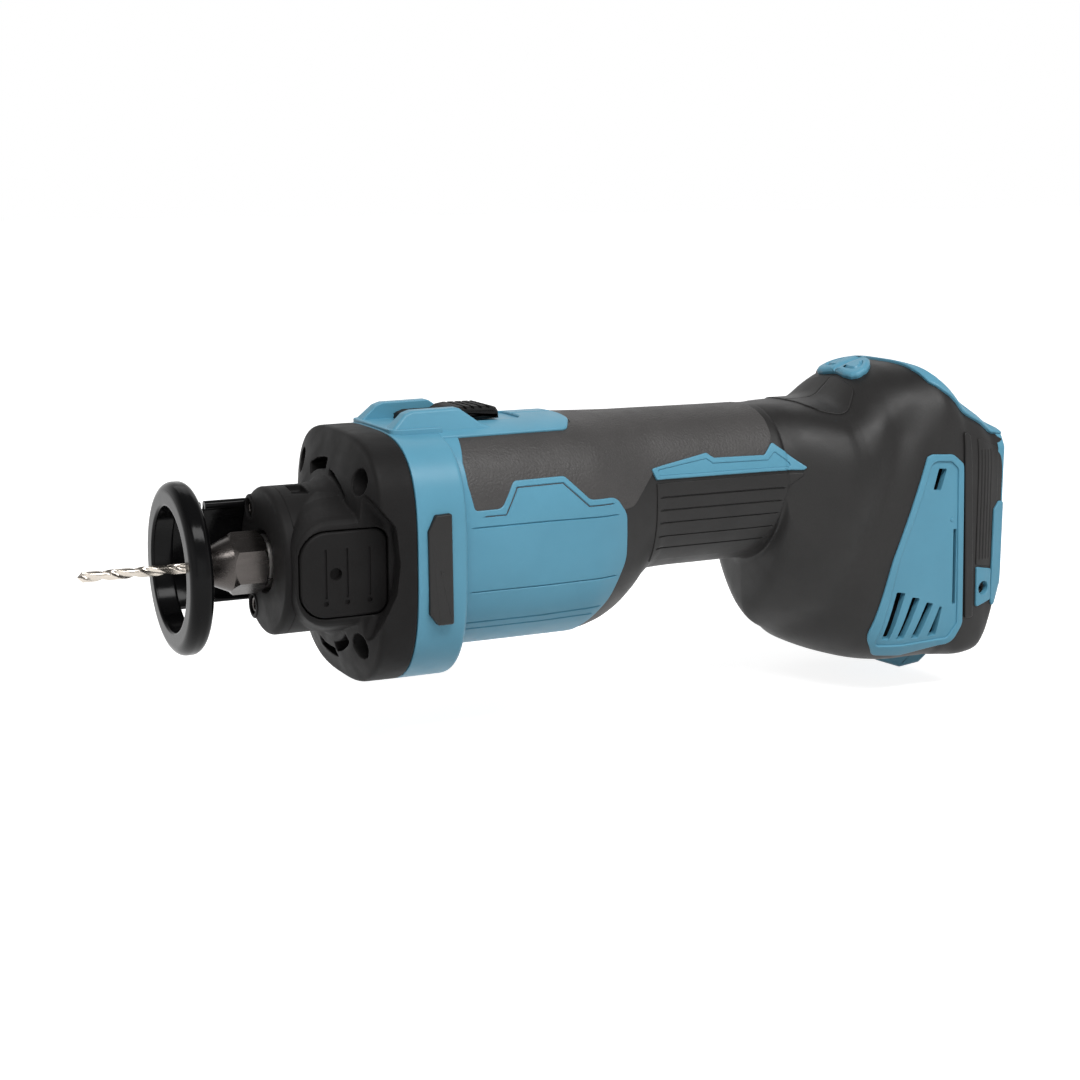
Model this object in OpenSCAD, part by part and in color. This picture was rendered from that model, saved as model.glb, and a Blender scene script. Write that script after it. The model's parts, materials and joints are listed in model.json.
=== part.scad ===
// Cordless drywall cut-out tool: a brushless motor drives a collet and a spiral bit through a nose
// with a depth guide, and a barrel grip leads back to a foot with rails for a battery pack.
// Frame: +X runs forward along the bit, +Y to the tool's left, +Z up, in millimetres.
// The origin lies on the spindle axis, in the plane of the nose's front face.

/* [Cutting bit and collet] */
// Diameter of the cutting bit
bit_d = 3.175; // [2.5:0.005:4]
// Reach of the bit's tip ahead of the nose face
bit_reach = 58; // [50:0.5:70]
// Length of the bit that the collet and the spindle hold
bit_held = 22; // [18:0.5:24]
// Collet nut, across its flats
nut_af = 17; // [16:0.25:20]
// Length of the collet nut
nut_len = 17; // [15:0.5:18]
// Diameter of the spindle in its front bearing
spindle_d = 12; // [11:0.25:12.5]

/* [Depth guide] */
// Outer diameter of the guide ring
ring_od = 52.6; // [51:0.2:58]
// Inner diameter of the guide ring
ring_id = 38; // [34:0.5:42]
// Thickness of the guide ring, front to back
ring_t = 7; // [5:0.25:8]
// Reach of the ring's front face ahead of the nose face
ring_reach = 30.5; // [26:0.5:36]
// Thickness of the guide's curved arm
arm_t = 1.6; // [1.2:0.1:1.8]
// Half of the angle that the arm wraps around the nose
arm_half_angle = 42; // [34:1:42]
// Length of the arm behind the nose face
arm_engage = 16; // [14:0.5:17]
// Travel of the guide towards the nose
guide_in = 10; // [6:0.5:10]
// Travel of the guide away from the nose
guide_out = 6; // [4:0.5:8]

/* [Nose and front housing] */
// Diameter of the nose
nose_d = 44; // [43:0.5:46]
// Length of the nose, from its face to the collar's rim
nose_len = 23; // [22:0.5:26]
// Length of the black collar
collar_len = 11.5; // [11:0.5:14]
// Half width of the collar and of the motor band
band_half = 38.5; // [37.5:0.25:41]
// Height of the collar and the band above the spindle axis
band_top = 39.4; // [38:0.2:42]
// Depth of the collar and the band below the spindle axis
band_bottom = 38.5; // [37.5:0.25:41]
// Draw-in of the collar's front rim
rim_draw = 2.4; // [1:0.1:3]

/* [Shaft lock] */
// Width and height of the shaft-lock button
button_w = 26; // [24:0.5:26]
// Distance of the button's face from the spindle axis
button_reach = 28.5; // [28:0.25:31]
// Travel of the shaft-lock button
button_travel = 3; // [2:0.25:3]
// Diameter of the shaft-lock pin
lock_pin_d = 3; // [2.4:0.1:3]

/* [Motor] */
// Outer diameter of the stator
stator_d = 51; // [48:0.5:51]
// Length of the stator's laminations
stator_len = 38; // [34:0.5:38]
// Diameter of the rotor
rotor_d = 25; // [22:0.5:26]
// Diameter of the cooling fan
fan_d = 58; // [52:0.5:60]
// Outer diameter of the rear bearing
rear_bearing_d = 22; // [20:0.5:24]

/* [Housing] */
// Length of the blue motor band
band_len = 15; // [14:0.5:17]
// Length of the motor housing behind the band
motor_len = 47.5; // [47.5:0.5:54]
// Half width of the motor housing
motor_half = 33; // [32.5:0.25:35]
// Height of the motor housing above the spindle axis
motor_top = 40; // [39.5:0.25:43]
// Depth of the motor housing below the spindle axis
motor_bottom = 30.2; // [30:0.2:33]
// Length of the neck between motor and grip
neck_len = 29; // [28:0.5:36]
// Length of the grip
grip_len = 29; // [27:0.5:40]
// Half width of the grip
grip_half = 25.4; // [24:0.2:28]
// Height of the grip's top above the spindle axis
grip_top = 39.6; // [39:0.2:42]
// Depth of the grip's underside below the spindle axis
grip_bottom = 13; // [12:0.2:15]
// Length of the flare between grip and foot
flare_len = 51; // [48:0.5:58]
// Length of the foot ahead of its rear rails
foot_len = 34; // [34:0.5:40]
// Half width of the foot
foot_half = 37.6; // [36:0.2:40]
// Height of the foot's hump above the spindle axis
foot_top = 53.2; // [51:0.2:56]
// Depth of the foot's underside below the spindle axis
foot_bottom = 48.5; // [47:0.5:51]
// Length of the rear rails
rail_len = 14.7; // [14:0.1:17]
// Half width of the rear end
rear_half = 35; // [34:0.2:36]
// Height of the rear end's roof edge above the spindle axis
rear_top = 27.3; // [26:0.2:30]
// Depth of the rear end below the spindle axis
rear_bottom = 40; // [38:0.2:42]
// Thickness of the soft overmould
soft_t = 1.6; // [1.2:0.1:1.8]
// Thickness of the housing's wall under it
wall_t = 2; // [1.8:0.1:2.2]

/* [Slide switch] */
// Length of the slide knob
knob_len = 37; // [35:0.5:38]
// Width of the slide knob
knob_w = 17; // [15:0.5:18]
// Height of the knob above the housing
knob_h = 5.2; // [4:0.1:6]
// Travel of the switch
switch_travel = 6; // [5:0.5:6]

/* [Hidden] */
$fn = 64;

// Clearances and cut overrun
fit_gap = 0.3;
run_gap = 0.05;
seat_gap = 0.02;
overrun = 1;

// Stations along the tool
x_rim = -nose_len;
x_collar_back = x_rim - collar_len;
x_band_back = x_collar_back - band_len;
x_motor_back = x_band_back - motor_len;
x_neck_back = x_motor_back - neck_len;
x_grip_back = x_neck_back - grip_len;
x_flare_back = x_grip_back - flare_len;
x_foot_back = x_flare_back - foot_len;
x_rear = x_foot_back - rail_len;

// Corner exponents of the sections: higher is squarer
band_top_corner = 3.1;
band_low_corner = 2.4;
motor_corner = 2.7;
grip_corner = 2.3;
foot_corner = 3.2;

// The band's rounded rear edge
edge_round = 2.6;
step_run = 0.4;
band_round_shares = [[1, 0], [0.45, 0.15], [0.12, 0.5], [0, 1]];

// Places of the motor housing's stations, and of the neck, flare and foot stations between their
// ends: share of the length, then of the underside, the top and the half width
motor_shares = [0.13, 0.33, 0.58, 0.82, 1];
neck_shares = [[0.24, 0.04, 0.1, 0.18], [0.48, 0.2, 0.5, 0.5], [0.72, 0.48, 0.9, 0.78], [0.9, 0.8, 1, 0.94]];
flare_shares = [
    [0.14, 0, 0, 0.09], [0.22, 0.03, 0, 0.16], [0.28, 0.16, 0, 0.22], [0.34, 0.42, 0, 0.28], [0.42, 0.64, 0, 0.36],
    [0.56, 0.83, 0, 0.52], [0.74, 0.94, 0, 0.76], [0.85, 0.97, 0.32, 0.88], [0.94, 0.99, 0.7, 0.96]
];
foot_shares = [[0.2, 0, 0.02, 0], [0.58, 0, 0.03, 0], [0.76, 0, 0.18, 0.05], [0.88, 0.02, 0.5, 0.15]];
rail_shares = [[0.5, 0.4, 0.45, 0.6]];
// Roof height where the rear rails begin, and how far the underside has turned up there
roof_share = 0.58;
heel_share = 0.1;

function mix(a, b, s) = a + (b - a) * s;

// A station: place along X, underside, top, half width, corner exponents of the upper and lower half
function band_station(x, d) =
    [x, d - band_bottom, band_top - d, band_half - d, band_top_corner, band_low_corner];
function motor_station(x) = [x, -motor_bottom, motor_top, motor_half, motor_corner, motor_corner];
function grip_station(x) = [x, -grip_bottom, grip_top, grip_half, grip_corner, grip_corner];
function foot_station(x) = [x, -foot_bottom, foot_top, foot_half, foot_corner, foot_corner];
function heel_station(x) = [
    x, mix(-foot_bottom, -rear_bottom, heel_share), mix(foot_top, rear_top, roof_share),
    mix(foot_half, rear_half, heel_share), foot_corner, foot_corner
];
function rear_station(x) = [x, -rear_bottom, rear_top, rear_half, foot_corner, foot_corner];
function between(a, b, s) = [
    mix(a[0], b[0], s[0]), mix(a[1], b[1], s[1]), mix(a[2], b[2], s[2]), mix(a[3], b[3], s[3]),
    mix(a[4], b[4], s[0]), mix(a[5], b[5], s[0])
];
stations = concat(
    [band_station(x_collar_back, 0)],
    [for (s = band_round_shares) band_station(x_band_back + edge_round * s[0], edge_round * s[1])],
    [motor_station(x_band_back - step_run)],
    [for (s = motor_shares) motor_station(x_band_back - motor_len * s)],
    [for (s = neck_shares) between(motor_station(x_motor_back), grip_station(x_neck_back), s)],
    [grip_station(x_neck_back), grip_station(mix(x_neck_back, x_grip_back, 1 / 2)), grip_station(x_grip_back)],
    [for (s = flare_shares) between(grip_station(x_grip_back), foot_station(x_flare_back), s)],
    [foot_station(x_flare_back)],
    [for (s = foot_shares) between(foot_station(x_flare_back), heel_station(x_foot_back), s)],
    [heel_station(x_foot_back)],
    [for (s = rail_shares) between(heel_station(x_foot_back), rear_station(x_rear), s)],
    [rear_station(x_rear)]
);
station_count = len(stations);
arc_cells = 18;

// A point of a section at angle t, drawn in by d
function section_point(s, t, d) =
    let (
        mid = (s[1] + s[2]) / 2,
        tall = (s[2] - s[1]) / 2 - d,
        power = 2 / (t > 0 ? s[4] : s[5])
    )
    [(s[3] - d) * pow(abs(cos(t)), power), mid + tall * sign(t) * pow(abs(sin(t)), power)];
function half_section(s, d, cells) = [for (k = [0 : cells]) section_point(s, 180 * k / cells - 90, d)];
function full_section(s, d, cells) =
    let (half = half_section(s, d, cells))
    concat(half, [for (k = [cells - 1 : -1 : 1]) [-half[k][0], half[k][1]]]);
// The section at any place along the tool, and its half width at a height z
function row_at(x, n) = lookup(x, [for (s = stations) [s[0], s[n]]]);
function station_at(x) = concat([x], [for (n = [1 : 5]) row_at(x, n)]);
function half_at(x, z, d) =
    let (
        s = station_at(x),
        mid = (s[1] + s[2]) / 2,
        tall = (s[2] - s[1]) / 2 - d,
        n = z > mid ? s[4] : s[5]
    )
    (s[3] - d) * pow(1 - pow(min(abs(z - mid) / tall, 1), n), 1 / n);

// Which cells of the skin the overmould covers
soft_front_share = 0.13;
badge_front_share = 0.33;
badge_back_share = 0.82;
soft_low_cell = 10;
badge_low_cell = 12;
strip_cell = 16;
panel_back_share = 0.48;
x_panel_back = mix(x_motor_back, x_neck_back, panel_back_share);
x_strip_back = x_motor_back;
accent_cell = 11;
panel_cells = [[3, 6], [3, 8], [3, 10], [3, 10]];
rear_soft_cells = [3, 14];
function covered(x, k) =
    x > x_band_back - motor_len * soft_front_share ? false :
    x > x_strip_back ? k >= soft_at(x) && k < strip_cell :
    x > x_panel_back ? k >= soft_low_cell :
    x > x_flare_back ? !(k == accent_cell && x < x_neck_back && x > x_grip_back) :
    x > x_foot_back ? !in_panel(x, k) : k > rear_soft_cells[0] && k < rear_soft_cells[1];
function soft_at(x) =
    x < x_band_back - motor_len * badge_front_share && x > x_band_back - motor_len * badge_back_share
    ? badge_low_cell : soft_low_cell;
function in_panel(x, k) =
    let (
        rows = len(panel_cells),
        row = panel_cells[min(floor((x_flare_back - x) / foot_len * rows), rows - 1)]
    )
    k >= row[0] && k <= row[1];

// The skin is a grid of cells between stations and section angles, at three depths
levels = [0, soft_t, soft_t + wall_t];
skin_inner = 2;
nodes_across = arc_cells + 1;
skin_points = [
    for (d = levels) for (s = stations) for (p = half_section(s, d, arc_cells)) [s[0], p[0], p[1]]
];
function at(level, i, k) = (level * station_count + i) * nodes_across + k;
function quad(a, b, c, d) = [[a, b, c], [a, c, d]];
// Faces of a layer whose cell (i, k) reaches from depth tops[i][k] to depth inner
function layer_faces(tops, inner) = [
    for (i = [0 : station_count - 2]) for (k = [0 : arc_cells - 1])
        let (
            top = tops[i][k],
            ahead = i > 0 ? tops[i - 1][k] : inner,
            behind = i < station_count - 2 ? tops[i + 1][k] : inner,
            below = k > 0 ? tops[i][k - 1] : inner,
            above = k < arc_cells - 1 ? tops[i][k + 1] : inner
        )
        if (top < inner) each concat(
            quad(at(top, i, k), at(top, i, k + 1), at(top, i + 1, k + 1), at(top, i + 1, k)),
            quad(at(inner, i, k), at(inner, i + 1, k), at(inner, i + 1, k + 1), at(inner, i, k + 1)),
            [for (l = [top : 1 : ahead - 1])
                each quad(at(l, i, k), at(l + 1, i, k), at(l + 1, i, k + 1), at(l, i, k + 1))],
            [for (l = [top : 1 : behind - 1])
                each quad(at(l, i + 1, k), at(l, i + 1, k + 1), at(l + 1, i + 1, k + 1), at(l + 1, i + 1, k))],
            [for (l = [top : 1 : below - 1])
                each quad(at(l, i, k), at(l, i + 1, k), at(l + 1, i + 1, k), at(l + 1, i, k))],
            [for (l = [top : 1 : above - 1])
                each quad(at(l, i, k + 1), at(l + 1, i, k + 1), at(l + 1, i + 1, k + 1), at(l, i + 1, k + 1))]
        )
];
function cell_x(i) = (stations[i][0] + stations[i + 1][0]) / 2;
shell_tops = [
    for (i = [0 : station_count - 2]) [for (k = [0 : arc_cells - 1]) covered(cell_x(i), k) ? 1 : 0]
];
soft_tops = [
    for (i = [0 : station_count - 2]) [for (k = [0 : arc_cells - 1]) covered(cell_x(i), k) ? 0 : 1]
];

// Shared small shapes
function arc(cx, cy, r, a0, a1, n) =
    [for (k = [0 : n]) [cx + r * cos(mix(a0, a1, k / n)), cy + r * sin(mix(a0, a1, k / n))]];
corner_steps = 6;
function rounded(x0, y0, x1, y1, r) = concat(
    arc(x1 - r, y1 - r, r, 0, 90, corner_steps), arc(x0 + r, y1 - r, r, 90, 180, corner_steps),
    arc(x0 + r, y0 + r, r, 180, 270, corner_steps), arc(x1 - r, y0 + r, r, 270, 360, corner_steps)
);
module rod_x(r, x0, x1) {
    translate([x0, 0, 0]) rotate([0, 90, 0]) cylinder(r = r, h = x1 - x0);
}
module rod_y(r, y0, y1) {
    translate([0, y1, 0]) rotate([90, 0, 0]) cylinder(r = r, h = y1 - y0);
}
// A flat outline in Y and Z, drawn out along X; and one in X and Z, drawn out along Y
module slab_x(x0, x1) {
    translate([x0, 0, 0]) rotate([90, 0, 90]) linear_extrude(x1 - x0) children();
}
module slab_y(y0, y1) {
    translate([0, y1, 0]) rotate([90, 0, 0]) linear_extrude(y1 - y0) children();
}
// A profile of radius and X turned about the spindle axis; the angle starts at straight down and
// passes the left side, the top and the right side
right_side = 270;
module turned(profile, sweep = 360, start = 0) {
    rotate([0, 90, 0]) rotate([0, 0, start]) rotate_extrude(angle = sweep) polygon(profile);
}
module box(x0, x1, y0, y1, z0, z1) {
    translate([x0, y0, z0]) cube([x1 - x0, y1 - y0, z1 - z0]);
}

// Spindle, bearings and motor, from front to back
cap_t = 2.4;
spindle_r = spindle_d / 2;
shoulder_step = 2.3;
shoulder_r = spindle_r + shoulder_step;
thread_step = 0.9;
thread_r = spindle_r + thread_step;
thread_len = 9.4;
shoulder_front = 1.6;
taper_rim = 5.4;
taper_end = 4;
taper_depth = 20;
shaft_r = 5;
tail_r = 4;
bearing_w = 8;
front_bearing_r = 14;
bearing_front = -cap_t - seat_gap;
bearing_back = bearing_front - bearing_w;
wheel_gap = 1.6;
wheel_w = 7;
wheel_r = 11;
wheel_slots = 12;
slot_depth = 2.9;
x_lock = bearing_back - wheel_gap - wheel_w / 2;
fan_set_back = 2.5;
fan_front = x_collar_back - fan_set_back;
fan_w = 9;
fan_plate = 1.5;
fan_blades = 15;
fan_hub_r = 9;
blade_t = 1.4;
stator_set_back = 4;
stator_front = x_band_back - stator_set_back;
stator_back = stator_front - stator_len;
coil_over = 3;
board_t = 1.6;
board_r = 21;
board_hole_r = 8;
board_front = stator_back - coil_over - fit_gap;
rear_bearing_w = 7;
board_air = 1.6;
rear_bearing_front = board_front - board_t - board_air;
rear_bearing_back = rear_bearing_front - rear_bearing_w;
rotor_over = 1;
shield_depth = 0.6;

// Collet nut and collet
nut_back = shoulder_front + fit_gap;
nut_front = nut_back + nut_len;
hex_len = 10.4;
nut_corner_r = nut_af / (2 * cos(30));
nut_nose_r = 5.6;
thread_front = shoulder_front + thread_len;
nut_mouth_r = 3.2;
collet_max_r = 6.1;
collet_back = thread_front - taper_depth + overrun;
collet_slit = 0.8;
collet_slits = 4;
slit_angle = 45;
bit_tip_len = 3;

// Front housing
chamber_gap = 1;
chamber_r = wheel_r + chamber_gap;
plenum_r = 30.5;
recess_depth = 5;
recess_wall = 4.6;
face_t = 2.6;
x_recess = x_rim - recess_depth;
x_plenum = x_recess - face_t;
boss_wall = 2;
boss_round = 8;
button_round = 6.5;
button_t = 4.3;
button_half = button_w / 2;
button_proud = 0.7;
boss_reach = button_reach - button_proud;
press_gap = 0.7;
pocket_floor = button_reach - button_t - button_travel - press_gap;
lock_pin_r = lock_pin_d / 2;
lock_pin_gap = 0.6;
lock_spring_r = 3.6;
lock_spring_wall = 1;
nose_chamfer = 1.6;
window_half = 6;
window_front = -9;
window_back = -14;
window_depth = 3;
vent_inner_r = 25.5;
vent_outer_r = 29.5;
vent_sweep = 20;
vent_angles = [152, 180, 208, 332, 0, 28];
front_screw_out = 12.9;
front_screw_y = band_half - front_screw_out;
front_screw_low_in = 1;
front_screw_low_y = front_screw_y - front_screw_low_in;
front_screw_high = band_top - front_screw_out;
front_screw_low_rise = 2;
front_screw_low = front_screw_out + front_screw_low_rise - band_bottom;
front_screw_places = [
    [front_screw_y, front_screw_high], [-front_screw_y, front_screw_high],
    [front_screw_low_y, front_screw_low], [-front_screw_low_y, front_screw_low]
];
front_head_r = 3.2;
front_head_h = 3;
front_screw_r = 2;
front_boss_r = 4.6;
front_boss_len = band_len - edge_round;
head_clear = 0.5;
socket_depth = 1.6;
socket_share = 0.5;
nose_screw_r = 1.4;
nose_head_r = 2.6;
nose_head_h = 1.8;
nose_screw_len = 9;
nose_screw_places = [[-12, 14.6], [-10.6, -15.8]];

// Depth guide, its holder and its lever
ring_r = ring_od / 2;
ring_hole_r = ring_id / 2;
ring_round = 2.9;
ring_edge = 1.1;
ring_back = ring_reach - ring_t;
nose_r = nose_d / 2;
arm_r = nose_r + fit_gap;
arm_sink = 1.5;
holder_r = arm_r + arm_t + fit_gap;
holder_t = 1.8;
arm_grip = 6;
holder_front = guide_out + arm_grip - arm_engage;
holder_back = x_recess - overrun;
arm_stop = -arm_engage - guide_in - fit_gap;
leg_gap_angle = 1;
leg_angle = 4;
leg_sink = 1.5;
lever_stand = 3.4;
lever_y = -(holder_r + holder_t + lever_stand);
lever_z = 10;
lever_hub_r = 3.2;
lever_t = 2.8;
lever_w = 8.4;
lever_len = 24;
lever_pin_r = 1.5;
ear_t = 3;
lever_shift = 1;
lever_mid = (holder_front + x_rim) / 2 + lever_shift;
lever_front = lever_mid + lever_w / 2;
lever_back = lever_mid - lever_w / 2;
ear_depth = 4;

// Slide switch
knob_side_gap = 1.6;
rail_inner = knob_w / 2 + knob_side_gap;
rail_t = 4.6;
rail_rise = 6;
rail_sink = 5;
rail_lead = 5;
rail_tail = 8;
rail_toe = 1;
rail_shoulder = [3, 1.6];
rail_run = 33;
x_rail_front = x_collar_back;
x_rail_back = x_rail_front - rail_run;
knob_end_gap = 0.8;
knob_front = x_rail_front - switch_travel - knob_end_gap;
knob_back = knob_front - knob_len;
knob_lift = 0.5;
knob_low = motor_top + knob_lift;
// The knob's outline from the side: shares of its length and height
knob_shares = [
    [0, 0], [0, 0.55], [0.06, 1], [0.36, 1], [0.54, 0.42], [0.76, 0.42], [0.88, 0.8], [1, 0.5], [1, 0]
];
stem_w = 6;
stem_len = 8;
stem_share = 0.68;
stem_back = knob_front - knob_len * stem_share;
rod_w = 9;
rod_h = 3;
rod_drop = 2.2;
rod_top = motor_top - soft_t - wall_t - rod_drop;
rod_front = stem_back + stem_len;
rod_end = 4;
rod_back = x_neck_back + rod_end;
switch_len = 21;
switch_w = 16;
switch_h = 17;
tab_w = 11;
tab_t = 2;
switch_spring_r = 2.4;
switch_spring_wall = 0.8;
spring_y = -rod_w / 2 - switch_spring_r - run_gap;
rod_slot_gap = 0.4;
switch_gap = 1.3;
switch_front = rod_back - switch_gap;
switch_back = switch_front - switch_len;

// Ribs and screw posts inside the housing
rib_t = 2.4;
rib_sink = 0.8;
rib_inset = 2;
post_r = 3;
post_share = 0.3;
screw_r = 1.75;
screw_head_r = 3;
screw_head_h = 2.4;
screw_grip = 9;
screw_sink = 3.4;
lead_r = 3;
thin_lead_r = 1.5;
lead_sides = 8;
lead_hole_gap = 0.6;
lead_hole_r = lead_r + lead_hole_gap;
// Screw posts: share of the way along each stretch, and distance from its top or underside
neck_post_share = 0.4;
neck_post_rise = 11.2;
grip_post_share = 0.8;
grip_post_drop = 8.8;
grip_post_rise = 7.6;
flare_post_share = 0.66;
flare_post_drop = 9.4;
lobe_post_share = 0.54;
lobe_post_rise = 26.5;
heel_post_share = 0.78;
heel_post_rise = 14;
foot_post_share = 0.4;
foot_post_drop = 8.4;
post_places = [
    [mix(x_motor_back, x_neck_back, neck_post_share), neck_post_rise - motor_bottom],
    [mix(x_neck_back, x_grip_back, grip_post_share), grip_top - grip_post_drop],
    [mix(x_neck_back, x_grip_back, grip_post_share), grip_post_rise - grip_bottom],
    [mix(x_grip_back, x_flare_back, flare_post_share), grip_top - flare_post_drop],
    [mix(x_grip_back, x_flare_back, lobe_post_share), lobe_post_rise - foot_bottom],
    [mix(x_grip_back, x_flare_back, heel_post_share), heel_post_rise - foot_bottom],
    [mix(x_flare_back, x_foot_back, foot_post_share), foot_top - foot_post_drop]
];

// Side pads on the band
pad_set_back = 3;
pad_front = x_collar_back - pad_set_back;
pad_len = 7.6;
pad_back = pad_front - pad_len;
pad_high = 17.2;
pad_low = -16.2;
pad_bevel = 3.6;
pad_bevel_share = 0.7;
pad_depth = 2;
pad_floor = band_half - pad_depth;
pad_proud = 0.9;
pad_gap = 0.1;

// Foot: lug, strap bar, vents, hook nuts, rear base and electronics
lug_half = 12;
lug_drop = 11.5;
lug_fore = 14;
lug_front = x_foot_back + lug_fore;
lug_aft = 4;
lug_back = x_rear + lug_aft;
lug_sink = 6;
lug_bevel = 5;
bar_r = 5;
bar_half = 5.5;
bar_sink = 4.4;
bar_share = 0.22;
x_bar = mix(x_flare_back, x_foot_back, bar_share);
vent_count = 4;
vent_pitch = 6.6;
vent_w = 3.4;
vent_len = 17;
vent_step = 1.8;
vent_tilt = 22;
vent_cut = 14;
vent_set_back = 1;
x_vent = x_flare_back - vent_set_back;
vent_rise = 8.4;
z_vent = vent_rise - foot_bottom;
sight_w = 3;
sight_h = 8;
sight_set_back = 19;
sight_x = x_flare_back - sight_set_back;
sight_z = 14.6;
hook_set_in = 8.6;
hook_x = x_rear + hook_set_in;
hook_z = -24.8;
hook_r = 1.65;
nut_body_r = 3.2;
hook_nut_len = 5;
hook_mouth_r = 2.3;
hook_boss_r = 5;
hook_boss_back = 2;
hook_sink = 1.2;
lip_t = 2.6;
lip_in = 6.5;
lip_drop = 4;
lip_top = rear_top - lip_drop;
lip_bottom = -28;
base_t = 3;
base_set_in = 9;
base_front = x_rear + base_set_in;
base_gap = 0.25;
base_rim_d = soft_t + wall_t + base_gap;
terminal_half = 17;
terminal_low = -2;
terminal_high = 17;
terminal_ahead = 5;
terminal_front = base_front + terminal_ahead;
terminal_set_in = 1.6;
terminal_back = x_rear + terminal_set_in;
blade_half = 0.45;
blade_y = 11;
blade_h = 9;
blade_in = 3;
blade_slot = 1.6;
latch_w = 14;
latch_h = 5;
latch_z = -30;
controller_len = 24;
controller_half = 25;
controller_rise = 11;
controller_low = controller_rise - foot_bottom;
controller_high = 4;
controller_fin = 2;
fin_low = 4;
fin_high = 16;
controller_fins = 6;

// Routes of the two inner leads, from the motor and from the switch to the controller
controller_face = terminal_front + controller_len + fit_gap;
lead_end = controller_face + fit_gap;
motor_lead_high = 15.6;
motor_lead_low = -10;
switch_lead_high = 20;
switch_lead_low = 0;
// Each route's points: share of its run back and of its fall
motor_lead_shares = [
    [0, 0], [0.086, 0], [0.145, 0.06], [0.21, 0.18], [0.3, 0.26], [0.4, 0.3], [0.53, 0.38], [0.66, 0.57],
    [0.8, 0.84], [0.93, 1], [1, 1]
];
switch_lead_shares = [[0, 0], [0.21, 0], [0.35, 0.1], [0.58, 0.45], [0.75, 0.85], [0.89, 1], [1, 1]];
function route(shares, start, high, low) =
    [for (s = shares) [mix(start, lead_end, s[0]), 0, mix(high, low, s[1])]];
motor_route = route(motor_lead_shares, board_front - board_t - fit_gap, motor_lead_high, motor_lead_low);
switch_route = route(switch_lead_shares, switch_back - fit_gap, switch_lead_high, switch_lead_low);

// A tube of few sides along a route
function unit(v) = v / norm(v);
function heading(route, i) =
    unit(route[min(i + 1, len(route) - 1)] - route[max(i - 1, 0)]);
function tube_points(route, r, sides) = [
    for (i = [0 : len(route) - 1])
        let (ahead = heading(route, i), side = [0, 1, 0], up = cross(ahead, side))
        for (k = [0 : sides - 1])
            route[i] + r * (cos(360 * k / sides) * side + sin(360 * k / sides) * up)
];
function tube_faces(rings, sides) = concat(
    [[for (k = [0 : sides - 1]) k]],
    [for (i = [0 : rings - 2]) for (k = [0 : sides - 1])
        let (n = (k + 1) % sides)
        each [
            [i * sides + k, (i + 1) * sides + k, (i + 1) * sides + n],
            [i * sides + k, (i + 1) * sides + n, i * sides + n]
        ]],
    [[for (k = [sides - 1 : -1 : 0]) (rings - 1) * sides + k]]
);
module tube(route, r) {
    polyhedron(tube_points(route, r, lead_sides), tube_faces(len(route), lead_sides));
}

// Half of an inner rib: the inside of the wall, cut in half, with a hole on the spindle axis
module rib(x, t, hole_r) {
    difference() {
        slab_x(x - t, x) polygon(half_section(station_at(x - t / 2), soft_t + wall_t - rib_sink, arc_cells));
        rod_x(hole_r, x - t - overrun, x + overrun);
    }
}
// How far out a post reaches: into the wall, but not through it at any corner
function post_len(p) = min([
    for (a = [-post_r, post_r]) for (b = [-post_r, post_r])
        half_at(p[0] + a, p[1] + b, soft_t + wall_t * post_share)
]);
module posts() {
    for (p = post_places) translate([p[0], 0, p[1]]) rod_y(post_r, 0, post_len(p));
}
// Outline of a rail beside the slide knob, in X and Z
module rail() {
    low = motor_top - rail_sink;
    high = motor_top + rail_rise;
    slab_y(rail_inner, rail_inner + rail_t) polygon([
        [x_rail_front, low], [x_rail_front, band_top - rail_toe],
        [x_rail_front - rail_lead, high - rail_shoulder[1]],
        [x_rail_front - rail_lead - rail_shoulder[0], high], [x_rail_back + rail_tail, high],
        [x_rail_back, motor_top - rail_toe], [x_rail_back, low]
    ]);
}
module lug() {
    top = lug_sink - foot_bottom;
    low = -foot_bottom - lug_drop;
    slab_y(0, lug_half) polygon([
        [lug_front, top], [lug_front, lug_bevel / 2 - foot_bottom], [lug_front - lug_bevel, low + lug_bevel / 2],
        [lug_front - 2 * lug_bevel, low], [lug_back + lug_bevel, low], [lug_back, low + lug_bevel], [lug_back, top]
    ]);
}
module rail_lip() {
    box(x_rear, x_rear + lip_t, rear_half - lip_in, rear_half - soft_t, lip_bottom, lip_top);
}
module strap_bar() {
    translate([x_bar, 0, foot_top - bar_sink]) rod_y(bar_r, 0, bar_half);
}
module foot_vents() {
    for (n = [0 : vent_count - 1])
        translate([x_vent - n * vent_pitch, 0, z_vent]) rotate([0, -vent_tilt, 0])
            box(-vent_w / 2, vent_w / 2, foot_half - vent_cut, foot_half + overrun, 0, vent_len - n * vent_step);
    box(
        sight_x - sight_w / 2, sight_x + sight_w / 2, foot_half - vent_cut, foot_half + overrun,
        sight_z - sight_h / 2, sight_z + sight_h / 2
    );
}
module pad_outline(grow) {
    polygon([
        [pad_front + grow, pad_high - pad_bevel], [pad_front - pad_bevel * pad_bevel_share, pad_high + grow],
        [pad_back - grow, pad_high + grow], [pad_back - grow, pad_low - grow],
        [pad_front - pad_bevel * pad_bevel_share, pad_low - grow], [pad_front + grow, pad_low + pad_bevel]
    ]);
}
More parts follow.
